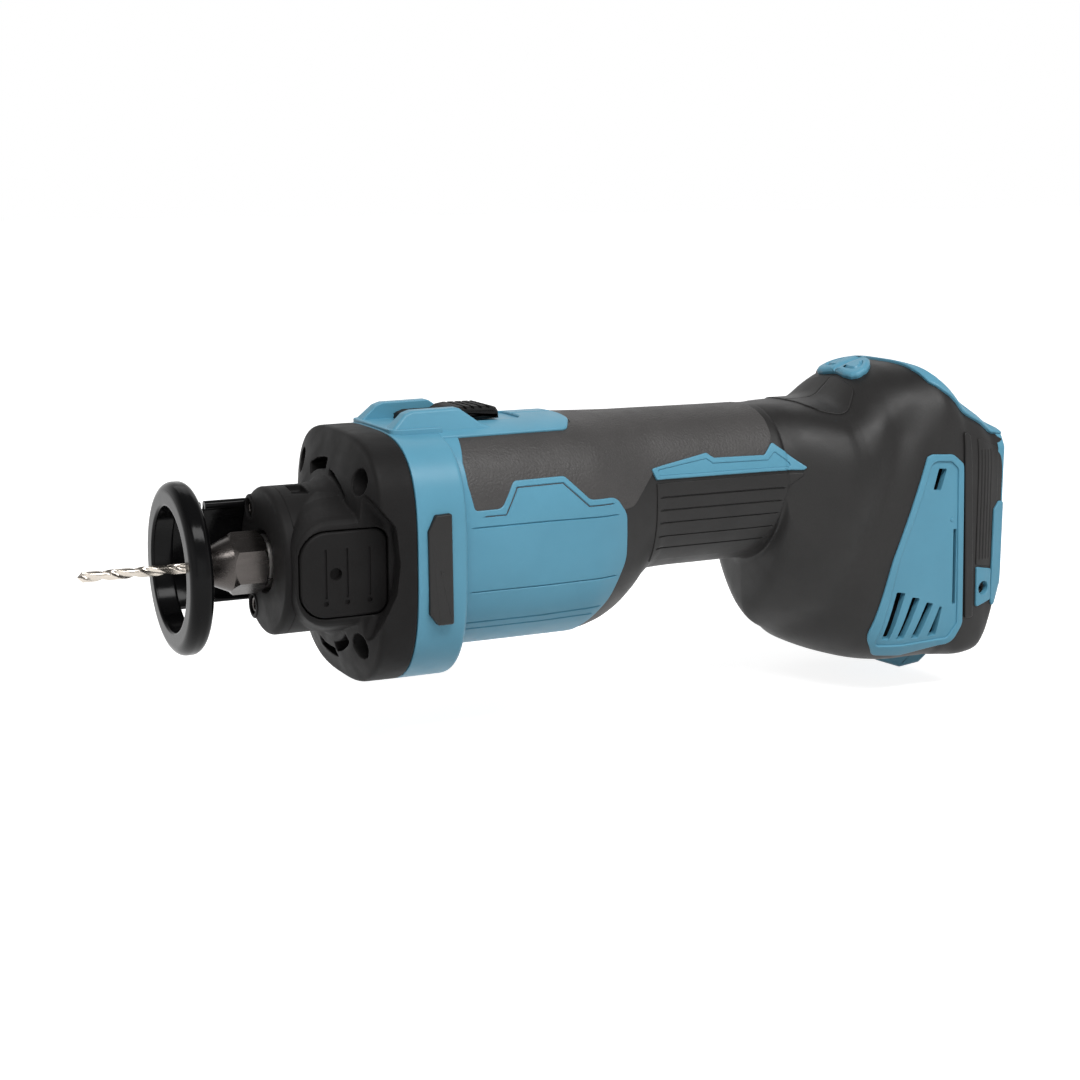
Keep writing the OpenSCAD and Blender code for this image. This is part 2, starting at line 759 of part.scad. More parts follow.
// The left half of the hard housing, without the screw holes that differ between the halves
module half_housing() {
    difference() {
        union() {
            polyhedron(skin_points, layer_faces(shell_tops, skin_inner));
            rib(stator_front - rib_inset, rib_t, stator_d / 2 + seat_gap);
            rib(stator_back + rib_inset + rib_t, rib_t, stator_d / 2 + seat_gap);
            rib(rear_bearing_front, rear_bearing_w, rear_bearing_d / 2 + seat_gap);
            posts();
            rail();
            lug();
            for (p = [front_screw_places[0], front_screw_places[2]])
                translate([0, p[0], p[1]])
                    rod_x(front_boss_r, x_collar_back - front_boss_len, x_collar_back);
            translate([hook_x, 0, hook_z])
                rod_y(
                    hook_boss_r, half_at(hook_x, hook_z, 0) - hook_nut_len - hook_boss_back,
                    half_at(hook_x, hook_z, wall_t)
                );
            rail_lip();
            strap_bar();
        }
        // Slot for the knob's stem, and a channel for the switch rod through the ribs
        box(
            stem_back - rod_slot_gap, stem_back + stem_len + switch_travel + rod_slot_gap, -overrun,
            stem_w / 2 + rod_slot_gap, rod_top - rod_h, motor_top + overrun
        );
        box(
            rod_back - overrun, x_band_back - overrun, -overrun, rod_w / 2 + rod_slot_gap,
            rod_top - rod_h - rod_slot_gap, rod_top + rod_slot_gap
        );
        // Hole for the motor lead through the bearing rib
        translate([0, 0, motor_route[0][2]])
            rod_x(lead_hole_r, rear_bearing_back - overrun, rear_bearing_front + overrun);
        for (p = [front_screw_places[0], front_screw_places[2]])
            translate([0, p[0], p[1]])
                rod_x(front_screw_r + seat_gap, x_collar_back - front_boss_len + overrun, x_collar_back + overrun);
        slab_y(pad_floor, band_half + overrun) pad_outline(pad_gap);
        foot_vents();
        translate([hook_x, 0, hook_z]) {
            rod_y(
                nut_body_r + seat_gap, half_at(hook_x, hook_z, 0) - hook_sink - hook_nut_len - overrun,
                half_at(hook_x, hook_z, 0) - hook_sink
            );
            rod_y(hook_mouth_r, 0, foot_half + overrun);
        }
    }
}

module housing_left() {
    color("#4f8fb0") difference() {
        half_housing();
        for (p = post_places)
            translate([p[0], 0, p[1]]) rod_y(screw_r + seat_gap, -overrun, screw_grip + overrun);
    }
}
function head_seat(p) = half_at(p[0], p[1], 0) - screw_sink;
module housing_right() {
    color("#4f8fb0") mirror([0, 1, 0]) difference() {
        half_housing();
        for (p = post_places) translate([p[0], 0, p[1]]) {
            rod_y(screw_r + seat_gap, -overrun, foot_half);
            rod_y(screw_head_r + fit_gap, head_seat(p) - screw_head_h, foot_half + overrun);
        }
        translate([0, -spring_y, rod_top - rod_h / 2])
            rod_x(switch_spring_r + rod_slot_gap, rod_back - overrun, rear_bearing_back + overrun);
    }
}
module grip_half_skin() {
    difference() {
        polyhedron(skin_points, layer_faces(soft_tops, 1));
        translate([hook_x, 0, hook_z]) rod_y(hook_boss_r, 0, foot_half + overrun);
        lug();
        rail();
        rail_lip();
        strap_bar();
    }
}
module grip_left() {
    color("#3c3938") grip_half_skin();
}
module grip_right() {
    color("#3c3938") mirror([0, 1, 0]) difference() {
        grip_half_skin();
        for (p = post_places)
            translate([p[0], 0, p[1]]) rod_y(screw_head_r + fit_gap, 0, foot_half + overrun);
    }
}
module housing_screws() {
    color("#2c2c2e") for (p = post_places) translate([p[0], 0, p[1]]) {
        seat = -head_seat(p) + screw_head_h;
        difference() {
            rod_y(screw_head_r, seat - screw_head_h, seat - fit_gap / 2);
            rod_y(screw_head_r * socket_share, seat - screw_head_h - overrun, seat - screw_head_h + socket_depth);
        }
        rod_y(screw_r, seat - screw_head_h + socket_depth + fit_gap, screw_grip);
    }
}

// Front housing: the collar loft, the nose, the button boss and the guide's holder
rim_shares = [0.12, 0.55];
collar_loops = [
    band_station(x_rim, rim_draw),
    band_station(mix(x_rim, x_collar_back, rim_shares[0]), rim_draw * rim_shares[1]),
    band_station(x_collar_back, 0)
];
collar_count = 2 * arc_cells;
module collar() {
    polyhedron(
        [for (s = collar_loops) for (p = full_section(s, 0, arc_cells)) [s[0], p[0], p[1]]],
        concat(
            [[for (k = [collar_count - 1 : -1 : 0]) k]],
            [for (i = [0 : len(collar_loops) - 2]) for (k = [0 : collar_count - 1])
                let (n = (k + 1) % collar_count)
                each quad(
                    i * collar_count + k, i * collar_count + n,
                    (i + 1) * collar_count + n, (i + 1) * collar_count + k
                )],
            [[for (k = [0 : collar_count - 1]) (len(collar_loops) - 1) * collar_count + k]]
        )
    );
}
// The holder is a sector around the nose with a slot for the guide's arm, closed behind by a stop
module guide_holder() {
    slot_half = arm_half_angle + leg_gap_angle;
    holder_half = slot_half + leg_angle;
    difference() {
        turned(
            [[nose_r - leg_sink, holder_back], [nose_r - leg_sink, holder_front],
                [holder_r + holder_t, holder_front], [holder_r + holder_t, holder_back]],
            2 * holder_half, right_side - holder_half
        );
        turned(
            [[nose_r - leg_sink / 2, arm_stop], [nose_r - leg_sink / 2, holder_front + overrun],
                [holder_r, holder_front + overrun], [holder_r, arm_stop]],
            2 * slot_half, right_side - slot_half
        );
    }
    // Two ears for the lever
    for (x = [lever_front + fit_gap, lever_back - fit_gap - ear_t])
        difference() {
            box(
                x, x + ear_t, lever_y - lever_hub_r, -holder_r - holder_t + ear_depth,
                lever_z - lever_hub_r, lever_z + lever_hub_r
            );
            rod_x(holder_r + holder_t / 2, x - overrun, x + ear_t + overrun);
        }
}
module front_housing() {
    color("#2d2c2c") difference() {
        union() {
            difference() {
                collar();
                // Recessed face around the nose, inside the rim
                difference() {
                    slab_x(x_recess, x_rim + overrun)
                        polygon(full_section(band_station(x_rim, rim_draw), recess_wall, arc_cells));
                    rod_x(nose_r - overrun, x_recess - overrun, x_rim + 2 * overrun);
                }
                rod_x(plenum_r, x_collar_back - overrun, x_plenum);
                for (a = vent_angles)
                    turned(
                        [[vent_inner_r, x_plenum - overrun], [vent_inner_r, x_recess + overrun],
                            [vent_outer_r, x_recess + overrun], [vent_outer_r, x_plenum - overrun]],
                        vent_sweep, a - vent_sweep / 2
                    );
            }
            rod_x(nose_r, x_recess, -cap_t);
            slab_y(0, boss_reach) polygon(rounded(
                x_lock - button_half - boss_wall, -button_half - boss_wall,
                x_lock + button_half + boss_wall, button_half + boss_wall, boss_round
            ));
            guide_holder();
        }
        // Seat of the nose cap, bearing seat, lock chamber and the way through for the spindle
        rod_x(nose_r + run_gap, -cap_t, overrun);
        rod_x(front_bearing_r + seat_gap, bearing_back, overrun);
        rod_x(chamber_r, x_plenum - overrun, bearing_back + overrun / 2);
        // Button pocket and pin bore
        slab_y(pocket_floor, boss_reach + overrun) polygon(rounded(
            x_lock - button_half - fit_gap, -button_half - fit_gap,
            x_lock + button_half + fit_gap, button_half + fit_gap, button_round + fit_gap
        ));
        translate([x_lock, 0, 0]) rod_y(lock_pin_r + run_gap, 0, pocket_floor + overrun);
        for (p = front_screw_places) translate([0, p[0], p[1]]) {
            rod_x(front_head_r + head_clear, x_recess - overrun, x_rim + overrun);
            rod_x(front_screw_r + run_gap, x_collar_back - overrun, x_rim);
        }
        for (p = nose_screw_places)
            translate([0, p[0], p[1]]) rod_x(nose_screw_r + seat_gap, -nose_screw_len - overrun, 0);
        box(window_back, window_front, -window_half, window_half, nose_r - window_depth, nose_r + overrun);
        translate([0, lever_y, lever_z])
            rod_x(lever_pin_r + run_gap, lever_back - ear_t - overrun, lever_front + ear_t + overrun);
    }
}
module nose_cap() {
    color("#2d2c2c") difference() {
        turned([
            [shoulder_r + fit_gap, -cap_t], [shoulder_r + fit_gap, 0], [nose_r - nose_chamfer, 0],
            [nose_r, -nose_chamfer], [nose_r, -cap_t]
        ]);
        for (p = nose_screw_places) translate([0, p[0], p[1]]) {
            rod_x(nose_screw_r + run_gap, -cap_t - overrun, overrun);
            rod_x(nose_head_r + fit_gap, -nose_head_h, overrun);
        }
    }
}
// A socket-head screw along X, with its head's front at x
module socket_screw(x, head_r, head_h, shank_r, len) {
    difference() {
        rod_x(head_r, x - head_h, x);
        rod_x(head_r * socket_share, x - min(socket_depth, head_h / 2), x + overrun);
    }
    rod_x(shank_r, x - head_h - len, x - head_h / 2 - fit_gap);
}
module nose_screws() {
    color("#4a4a4c") for (p = nose_screw_places)
        translate([0, p[0], p[1]])
            socket_screw(run_gap, nose_head_r, nose_head_h, nose_screw_r, nose_screw_len - nose_head_h);
}
module front_screws() {
    color("#3a3a3c") for (p = front_screw_places)
        translate([0, p[0], p[1]]) socket_screw(
            x_recess - overrun + front_head_h, front_head_r, front_head_h, front_screw_r,
            x_recess - overrun - x_collar_back + front_boss_len - 2 * overrun
        );
}
module side_pad() {
    slab_y(pad_floor, band_half + pad_proud) pad_outline(0);
}
module side_pad_left() {
    color("#343232") side_pad();
}
module side_pad_right() {
    color("#343232") mirror([0, 1, 0]) side_pad();
}

// A ball bearing: two shielded races as one turned piece
module bearing(inner_r, outer_r, front, width) {
    third = (outer_r - inner_r) / 3;
    turned([
        [inner_r, front - width], [inner_r, front], [inner_r + third, front],
        [inner_r + third, front - shield_depth], [outer_r - third, front - shield_depth],
        [outer_r - third, front], [outer_r, front], [outer_r, front - width],
        [outer_r - third, front - width], [outer_r - third, front - width + shield_depth],
        [inner_r + third, front - width + shield_depth], [inner_r + third, front - width]
    ]);
}
module front_bearing() {
    color("#b9bcc0") bearing(spindle_r + run_gap, front_bearing_r, bearing_front, bearing_w);
}
module rear_bearing() {
    color("#b9bcc0") bearing(tail_r + run_gap, rear_bearing_d / 2, rear_bearing_front, rear_bearing_w);
}
module spindle() {
    color("#9a9da0") turned([
        [0, rear_bearing_back - overrun], [tail_r, rear_bearing_back - overrun],
        [tail_r, rear_bearing_front + fit_gap], [shaft_r, rear_bearing_front + fit_gap],
        [shaft_r, x_collar_back], [spindle_r, x_collar_back], [spindle_r, bearing_front + fit_gap],
        [shoulder_r, bearing_front + fit_gap], [shoulder_r, shoulder_front], [thread_r, shoulder_front],
        [thread_r, thread_front], [taper_rim, thread_front], [taper_end, thread_front - taper_depth],
        [0, thread_front - taper_depth]
    ]);
}
module lock_wheel() {
    color("#8a8c8f") difference() {
        turned([
            [spindle_r + seat_gap, x_lock - wheel_w / 2], [spindle_r + seat_gap, x_lock + wheel_w / 2],
            [wheel_r, x_lock + wheel_w / 2], [wheel_r, x_lock - wheel_w / 2]
        ]);
        for (n = [0 : wheel_slots - 1])
            rotate([360 * n / wheel_slots, 0, 0]) translate([x_lock, 0, 0])
                rod_y(lock_pin_r + run_gap * 2, wheel_r - slot_depth, wheel_r + overrun);
    }
}
module rotor_core() {
    color("#7d7f82") turned([
        [shaft_r + seat_gap, stator_back - rotor_over], [shaft_r + seat_gap, stator_front + rotor_over],
        [rotor_d / 2, stator_front + rotor_over], [rotor_d / 2, stator_back - rotor_over]
    ]);
}
module fan() {
    color("#26282a") {
        turned([
            [shaft_r + seat_gap, fan_front - fan_w], [shaft_r + seat_gap, fan_front], [fan_hub_r, fan_front],
            [fan_hub_r, fan_front - fan_w + fan_plate], [fan_d / 2, fan_front - fan_w + fan_plate],
            [fan_d / 2, fan_front - fan_w]
        ]);
        for (n = [0 : fan_blades - 1])
            rotate([360 * n / fan_blades, 0, 0])
                box(
                    fan_front - fan_w + fan_plate / 2, fan_front - fan_plate, fan_hub_r - blade_t,
                    fan_d / 2 - blade_t, -blade_t / 2, blade_t / 2
                );
    }
}
function taper_at(x) = mix(taper_rim, taper_end, (thread_front - x) / taper_depth);
module collet() {
    color("#a9a6a0") difference() {
        turned([
            [bit_d / 2 + seat_gap, collet_back], [taper_at(collet_back) - seat_gap, collet_back],
            [taper_rim - seat_gap, thread_front], [collet_max_r, thread_front + fit_gap],
            [collet_max_r, thread_front + overrun], [nut_mouth_r - fit_gap, nut_front - 2 * overrun],
            [bit_d / 2 + seat_gap, nut_front - 2 * overrun]
        ]);
        for (n = [0 : collet_slits / 2 - 1])
            rotate([180 * n / (collet_slits / 2) + slit_angle, 0, 0])
                box(thread_front - taper_depth / 3, nut_front, -nut_af, nut_af, -collet_slit / 2, collet_slit / 2);
    }
}
module collet_nut() {
    color("#3b3a3a") difference() {
        intersection() {
            rotate([0, 90, 0]) translate([0, 0, nut_back]) cylinder(r = nut_corner_r, h = nut_len, $fn = 6);
            turned([
                [0, nut_back], [nut_af / 2, nut_back], [nut_corner_r, nut_back + (nut_corner_r - nut_af / 2)],
                [nut_corner_r, nut_back + hex_len - (nut_corner_r - nut_af / 2)], [nut_af / 2, nut_back + hex_len],
                [nut_nose_r, nut_front], [0, nut_front]
            ]);
        }
        turned([
            [0, nut_back - overrun], [thread_r + run_gap, nut_back - overrun],
            [thread_r + run_gap, thread_front + fit_gap], [collet_max_r + fit_gap, thread_front + overrun + fit_gap],
            [nut_mouth_r, nut_front - overrun], [nut_mouth_r, nut_front + overrun], [0, nut_front + overrun]
        ]);
    }
}
module cutting_bit() {
    color("#cfc6b8") turned([
        [0, nut_front - bit_held], [bit_d / 2, nut_front - bit_held], [bit_d / 2, bit_reach - bit_tip_len],
        [0, bit_reach]
    ]);
}

// Stator: a ring with six teeth, and a coil around each tooth
teeth = 6;
tooth_w = 7;
yoke_t = 4;
air_gap = 0.6;
coil_w = 2;
coil_gap = 0.2;
coil_set_out = 3;
coil_inner = rotor_d / 2 + coil_set_out;
coil_half = tooth_w / 2 + coil_gap + coil_w;
coil_outer = sqrt(pow(stator_d / 2 - yoke_t, 2) - pow(coil_half, 2)) - coil_gap;
module stator_core() {
    color("#8b8e92") slab_x(stator_back, stator_front) union() {
        difference() {
            circle(r = stator_d / 2);
            circle(r = stator_d / 2 - yoke_t);
        }
        for (n = [0 : teeth - 1])
            rotate(360 * n / teeth) difference() {
                translate([0, -tooth_w / 2]) square([stator_d / 2 - yoke_t / 2, tooth_w]);
                circle(r = rotor_d / 2 + air_gap);
            }
    }
}
module stator_coils() {
    color("#b06a32") for (n = [0 : teeth - 1])
        rotate([360 * n / teeth, 0, 0]) difference() {
            box(
                stator_back - coil_over, stator_front + coil_over, coil_inner, coil_outer,
                -coil_half, coil_half
            );
            box(
                stator_back - coil_gap, stator_front + coil_gap, 0, stator_d,
                -tooth_w / 2 - coil_gap, tooth_w / 2 + coil_gap
            );
        }
}
module sensor_board() {
    color("#1f5a3a") turned([
        [board_hole_r, board_front - board_t], [board_hole_r, board_front], [board_r, board_front],
        [board_r, board_front - board_t]
    ]);
}
module motor_lead() {
    color("#1d1d1f") tube(motor_route, lead_r);
}
module switch_lead() {
    color("#1d1d1f") tube(switch_route, thin_lead_r);
}

// Slide switch: knob, rod and the switch that the rod works
module switch_unit() {
    color("#222426") box(
        switch_back, switch_front, -switch_w / 2, switch_w / 2,
        rod_top + fit_gap - switch_h, rod_top + fit_gap
    );
}
module switch_rod() {
    color("#202224") {
        box(rod_back, rod_front, -rod_w / 2, rod_w / 2, rod_top - rod_h, rod_top);
        box(rod_back, rod_back + tab_t, -rod_w / 2 - tab_w / 2, 0, rod_top - rod_h, rod_top);
        box(
            stem_back, stem_back + stem_len, -stem_w / 2, stem_w / 2, rod_top - rod_h / 2,
            knob_low
        );
    }
}
module switch_knob() {
    color("#2a2929") slab_y(-knob_w / 2, knob_w / 2)
        polygon([for (s = knob_shares) [mix(knob_back, knob_front, s[0]), knob_low + knob_h * s[1]]]);
}
module switch_spring() {
    color("#b0b2b5") translate([0, spring_y, rod_top - rod_h / 2]) difference() {
        rod_x(switch_spring_r, rod_back + tab_t + run_gap, rear_bearing_back - run_gap);
        rod_x(switch_spring_r - switch_spring_wall, rod_back, rear_bearing_back);
    }
}

// Electronics and battery interface in the foot
module controller() {
    color("#2f3133") {
        box(
            terminal_front + fit_gap, controller_face, -controller_half, controller_half,
            controller_low, controller_high
        );
        for (n = [0 : controller_fins - 1])
            translate([0, mix(-controller_half, controller_half, (n + 1 / 2) / controller_fins), 0])
                box(
                    controller_face - controller_fin,
                    controller_face + controller_fin, -controller_fin, controller_fin,
                    controller_low + fin_low, controller_low + fin_high
                );
    }
}
module rear_base() {
    color("#262627") difference() {
        slab_x(base_front - base_t, base_front)
            polygon(full_section(station_at(base_front - base_t), base_rim_d, arc_cells));
        box(
            terminal_back - overrun, terminal_front + overrun, -terminal_half - seat_gap, terminal_half + seat_gap,
            terminal_low - seat_gap, terminal_high + seat_gap
        );
        box(
            base_front - base_t - overrun, base_front + overrun, -latch_w / 2, latch_w / 2, latch_z - latch_h / 2,
            latch_z + latch_h / 2
        );
        for (side = [-1, 1])
            translate([hook_x, 0, hook_z]) rod_y(
                hook_boss_r + fit_gap, side > 0 ? rear_half / 2 : -rear_half, side > 0 ? rear_half : -rear_half / 2
            );
    }
}
blade_places = [-blade_y, 0, blade_y];
module terminal_block() {
    color("#1c1c1d") difference() {
        box(terminal_back, terminal_front, -terminal_half, terminal_half, terminal_low, terminal_high);
        for (y = blade_places)
            translate([0, y, 0]) box(
                terminal_back - overrun, terminal_front - blade_in, -blade_slot, blade_slot,
                terminal_low - overrun, terminal_low + blade_h + blade_in
            );
    }
}
module terminal_blades() {
    color("#b98a4a") for (y = blade_places)
        translate([0, y, 0]) box(
            terminal_back + blade_in / 2, terminal_front - blade_in, -blade_half, blade_half, terminal_low,
            terminal_low + blade_h
        );
}
module hook_nut() {
    seat = half_at(hook_x, hook_z, 0) - hook_sink;
    translate([hook_x, 0, hook_z]) difference() {
        rod_y(nut_body_r, seat - hook_nut_len, seat);
        rod_y(hook_r, seat - hook_nut_len - overrun, seat + overrun);
    }
}
module hook_nuts() {
    color("#c9ccd0") {
        hook_nut();
        mirror([0, 1, 0]) hook_nut();
    }
}

// Shaft lock: a button with a pin that enters the wheel on the spindle
button_under = button_reach - button_t;
module lock_button() {
    color("#242323") slab_y(button_under, button_reach) polygon(rounded(
        x_lock - button_half, -button_half, x_lock + button_half, button_half, button_round
    ));
}
module lock_pin() {
    color("#9fa2a6") translate([x_lock, 0, 0]) rod_y(lock_pin_r, wheel_r + lock_pin_gap, button_under);
}
module lock_spring() {
    color("#b0b2b5") translate([x_lock, 0, 0]) difference() {
        rod_y(lock_spring_r, pocket_floor + run_gap, button_under - run_gap);
        rod_y(lock_spring_r - lock_spring_wall, pocket_floor, button_under);
    }
}

// Depth guide: ring and arm in one, and the lever that clamps the arm
module depth_guide() {
    color("#1a1a1b") {
        turned(concat(
            arc(ring_r - ring_round, ring_reach - ring_round, ring_round, 0, 90, corner_steps),
            arc(ring_hole_r + ring_edge, ring_reach - ring_edge, ring_edge, 90, 180, corner_steps),
            arc(ring_hole_r + ring_edge, ring_back + ring_edge, ring_edge, 180, 270, corner_steps),
            arc(ring_r - ring_round, ring_back + ring_round, ring_round, 270, 360, corner_steps)
        ));
        turned(
            [[arm_r, -arm_engage], [arm_r, ring_back + arm_sink], [arm_r + arm_t, ring_back + arm_sink],
                [arm_r + arm_t, -arm_engage]],
            2 * arm_half_angle, right_side - arm_half_angle
        );
    }
}
module guide_lever() {
    color("#1f1e1e") difference() {
        union() {
            translate([0, lever_y, lever_z]) rod_x(lever_hub_r, lever_back, lever_front);
            box(
                lever_back, lever_front, lever_y - lever_t / 2, lever_y + lever_t / 2, lever_z - lever_len, lever_z
            );
        }
        translate([0, lever_y, lever_z])
            rod_x(lever_pin_r + run_gap, lever_back - overrun, lever_front + overrun);
    }
}
module lever_pin() {
    color("#9fa2a6") translate([0, lever_y, lever_z])
        rod_x(lever_pin_r, lever_back - ear_t - fit_gap, lever_front + ear_t + fit_gap);
}

housing_left();
housing_right();
grip_left();
grip_right();
front_housing();
nose_cap();
nose_screws();
front_screws();
housing_screws();
side_pad_left();
side_pad_right();
front_bearing();
rear_bearing();
spindle();
lock_wheel();
rotor_core();
fan();
collet();
collet_nut();
cutting_bit();
stator_core();
stator_coils();
sensor_board();
motor_lead();
switch_lead();
switch_unit();
switch_rod();
switch_knob();
switch_spring();
controller();
rear_base();
terminal_block();
terminal_blades();
hook_nuts();
lock_button();
lock_pin();
lock_spring();
depth_guide();
guide_lever();
lever_pin();
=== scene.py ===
"""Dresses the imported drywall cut-out tool: smooth shells, panels, vents, grips and materials."""

import json
import math

import bpy
import numpy as np
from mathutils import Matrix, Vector
from mathutils.geometry import delaunay_2d_cdt


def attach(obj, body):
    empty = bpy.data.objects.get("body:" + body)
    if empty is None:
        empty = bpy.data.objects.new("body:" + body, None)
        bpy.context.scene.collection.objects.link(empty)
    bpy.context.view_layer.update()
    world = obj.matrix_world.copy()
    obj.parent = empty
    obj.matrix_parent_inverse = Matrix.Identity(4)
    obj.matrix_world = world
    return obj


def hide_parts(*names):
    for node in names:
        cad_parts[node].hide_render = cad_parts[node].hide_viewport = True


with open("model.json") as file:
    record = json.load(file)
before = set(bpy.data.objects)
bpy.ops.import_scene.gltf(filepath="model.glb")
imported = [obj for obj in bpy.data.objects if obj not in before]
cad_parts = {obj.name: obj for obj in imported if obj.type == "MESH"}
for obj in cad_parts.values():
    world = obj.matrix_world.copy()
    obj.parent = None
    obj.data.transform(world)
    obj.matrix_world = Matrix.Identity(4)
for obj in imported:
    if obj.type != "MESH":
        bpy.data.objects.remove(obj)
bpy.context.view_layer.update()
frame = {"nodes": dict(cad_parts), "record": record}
scene = bpy.context.scene
# Sizes of shapes below are in millimetres, in the row frame
MM = 0.001


# Materials

WHITE = (1, 1, 1, 1)


def feed(tree, node, inputs):
    """Gives each input of a node its value or its link."""
    for key, value in inputs.items():
        if isinstance(value, bpy.types.NodeSocket):
            tree.links.new(value, node.inputs[key])
        else:
            node.inputs[key].default_value = value


def add_node(tree, kind, output, inputs, **settings):
    node = tree.nodes.new(kind)
    for name, value in settings.items():
        setattr(node, name, value)
    feed(tree, node, inputs)
    return node.outputs[output]


def noise(tree, coords, scale, detail):
    inputs = {"Vector": coords, "Scale": scale, "Detail": detail}
    return add_node(tree, "ShaderNodeTexNoise", "Fac", inputs)


def ramp(tree, value, low, high, start=0.3, stop=0.7):
    inputs = {"Value": value, "From Min": start, "From Max": stop, "To Min": low, "To Max": high}
    return add_node(tree, "ShaderNodeMapRange", "Result", inputs)


def tint(tree, value, dark, pale):
    inputs = {"Factor": value, "A": (*dark, 1), "B": (*pale, 1)}
    return add_node(tree, "ShaderNodeMix", "Result", inputs, data_type="RGBA")


# Scale, in spots per metre, and detail of the noise in a surface's colour, roughness and grain
CLOUDS = (60, 3)
SMUDGES = (140, 4)
GRAIN_DETAIL = 2
# Materials by name: those of the CAD nodes have the name of their slot
SLOTS = {}


def make_material(
    name, colour, spread, rough, rough_spread, grain, grain_scale, stretch=(1, 1, 1), **sockets
):
    """A surface with cloudy colour, uneven roughness and a fine grain: spread is a share of the colour,
    grain a height in metres and grain_scale its spots per metre."""
    made = bpy.data.materials.new(name)
    made.use_nodes = True
    tree = made.node_tree
    shader = tree.nodes["Principled BSDF"]
    coords = add_node(tree, "ShaderNodeTexCoord", "Object", {})
    coords = add_node(tree, "ShaderNodeMapping", "Vector", {"Vector": coords, "Scale": stretch})
    cloud = noise(tree, coords, *CLOUDS)
    dark = [c * (1 - spread) for c in colour]
    pale = [min(c * (1 + spread), 1) for c in colour]
    smudge = noise(tree, coords, *SMUDGES)
    bump = {"Strength": 1, "Distance": grain, "Height": noise(tree, coords, grain_scale, GRAIN_DETAIL)}
    feed(tree, shader, {
        "Base Color": tint(tree, ramp(tree, cloud, 0, 1), dark, pale),
        "Roughness": ramp(tree, smudge, rough - rough_spread, rough + rough_spread),
        "Normal": add_node(tree, "ShaderNodeBump", "Normal", bump)
    })
    feed(tree, shader, {socket.replace("_", " "): value for socket, value in sockets.items()})
    SLOTS[name] = made
    return made


BLUE = make_material(
    "blue_plastic", (0.092, 0.275, 0.385), 0.04, 0.4, 0.05, 0.00002, 2600, Specular_IOR_Level=0.3
)
RUBBER = make_material(
    "soft_grip", (0.0125, 0.0118, 0.0115), 0.1, 0.47, 0.05, 0.00003, 2200, Specular_IOR_Level=0.3
)
# Grained rubber insert: its bump grain is real. Its base colour, over three times the plain rubber's, is a
# painted sheen standing in for the highlights on it.
GRAIN_WITH_SHEEN = make_material(
    "soft_grain_sheen", (0.042, 0.0395, 0.0385), 0.12, 0.52, 0.06, 0.00024, 1250, Specular_IOR_Level=0.4
)
BLACK = make_material(
    "black_plastic", (0.011, 0.0105, 0.0105), 0.1, 0.55, 0.06, 0.00003, 2400, Specular_IOR_Level=0.1
)
ENAMEL = make_material(
    "black_enamel", (0.0035, 0.0035, 0.0038), 0.15, 0.15, 0.04, 0.00001, 900, Specular_IOR_Level=0.1
)
DARK_STEEL = make_material(
    "dark_steel", (0.085, 0.077, 0.073), 0.1, 0.26, 0.04, 0.00001, 1500, (1, 4, 4), Metallic=1
)
make_material(
    "bright_steel", (0.6, 0.58, 0.56), 0.08, 0.3, 0.06, 0.00001, 1800, (0.3, 4, 4), Metallic=1
)
BIT_STEEL = make_material("bit_steel", (0.56, 0.51, 0.45), 0.12, 0.22, 0.05, 0.00001, 1600, Metallic=1)
make_material("copper", (0.6, 0.26, 0.1), 0.12, 0.36, 0.06, 0.00005, 900, (0.2, 6, 6), Metallic=1)
make_material("terminal_brass", (0.62, 0.42, 0.17), 0.1, 0.32, 0.06, 0.00001, 1500, Metallic=1)
make_material("board", (0.02, 0.12, 0.05), 0.2, 0.38, 0.05, 0.00003, 800)
make_material(
    "lead_jacket", (0.012, 0.012, 0.013), 0.15, 0.5, 0.06, 0.00004, 1200, Specular_IOR_Level=0.25
)


# Objects

def new_object(name, points, faces, material):
    mesh = bpy.data.meshes.new(name)
    mesh.from_pydata((np.asarray(points) * MM).tolist(), [], [list(f) for f in faces])
    mesh.validate()
    mesh.materials.append(material)
    made = bpy.data.objects.new(name, mesh)
    scene.collection.objects.link(made)
    return made


def shade(piece, sharp_degrees=38):
    piece.data.shade_smooth()
    piece.data.set_sharp_from_angle(angle=math.radians(sharp_degrees))
    weighted = piece.modifiers.new("even_normals", "WEIGHTED_NORMAL")
    weighted.keep_sharp = True
    return piece


def settle(piece):
    """Applies the piece's modifiers to its mesh."""
    graph = bpy.context.evaluated_depsgraph_get()
    mesh = bpy.data.meshes.new_from_object(piece.evaluated_get(graph))
    old = piece.data
    piece.modifiers.clear()
    piece.data = mesh
    bpy.data.meshes.remove(old)
    return piece


def carve(piece, cutter, operation="DIFFERENCE"):
    """Cuts piece with cutter, or joins it on, and deletes cutter."""
    cut = piece.modifiers.new("cut", "BOOLEAN")
    cut.operation = operation
    cut.solver = "MANIFOLD"
    cut.object = cutter
    settle(piece)
    mesh = cutter.data
    bpy.data.objects.remove(cutter)
    bpy.data.meshes.remove(mesh)
    return piece


def dress(piece, body, slot, *nodes):
    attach(piece, body)
    if nodes:
        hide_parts(*nodes)
    return piece


class Parts:
    """Points and faces of several shapes that become one object."""

    def __init__(self):
        self.points = []
        self.faces = []

    def add(self, points, faces):
        base = len(self.points)
        self.points.extend(np.asarray(points).tolist())
        self.faces.extend([[i + base for i in f] for f in faces])
        return self

    def mirrored(self):
        other = Parts()
        other.points = [[p[0], -p[1], p[2]] for p in self.points]
        other.faces = [f[::-1] for f in self.faces]
        return other

    def make(self, name, material):
        return new_object(name, self.points, self.faces, material)


# Outlines

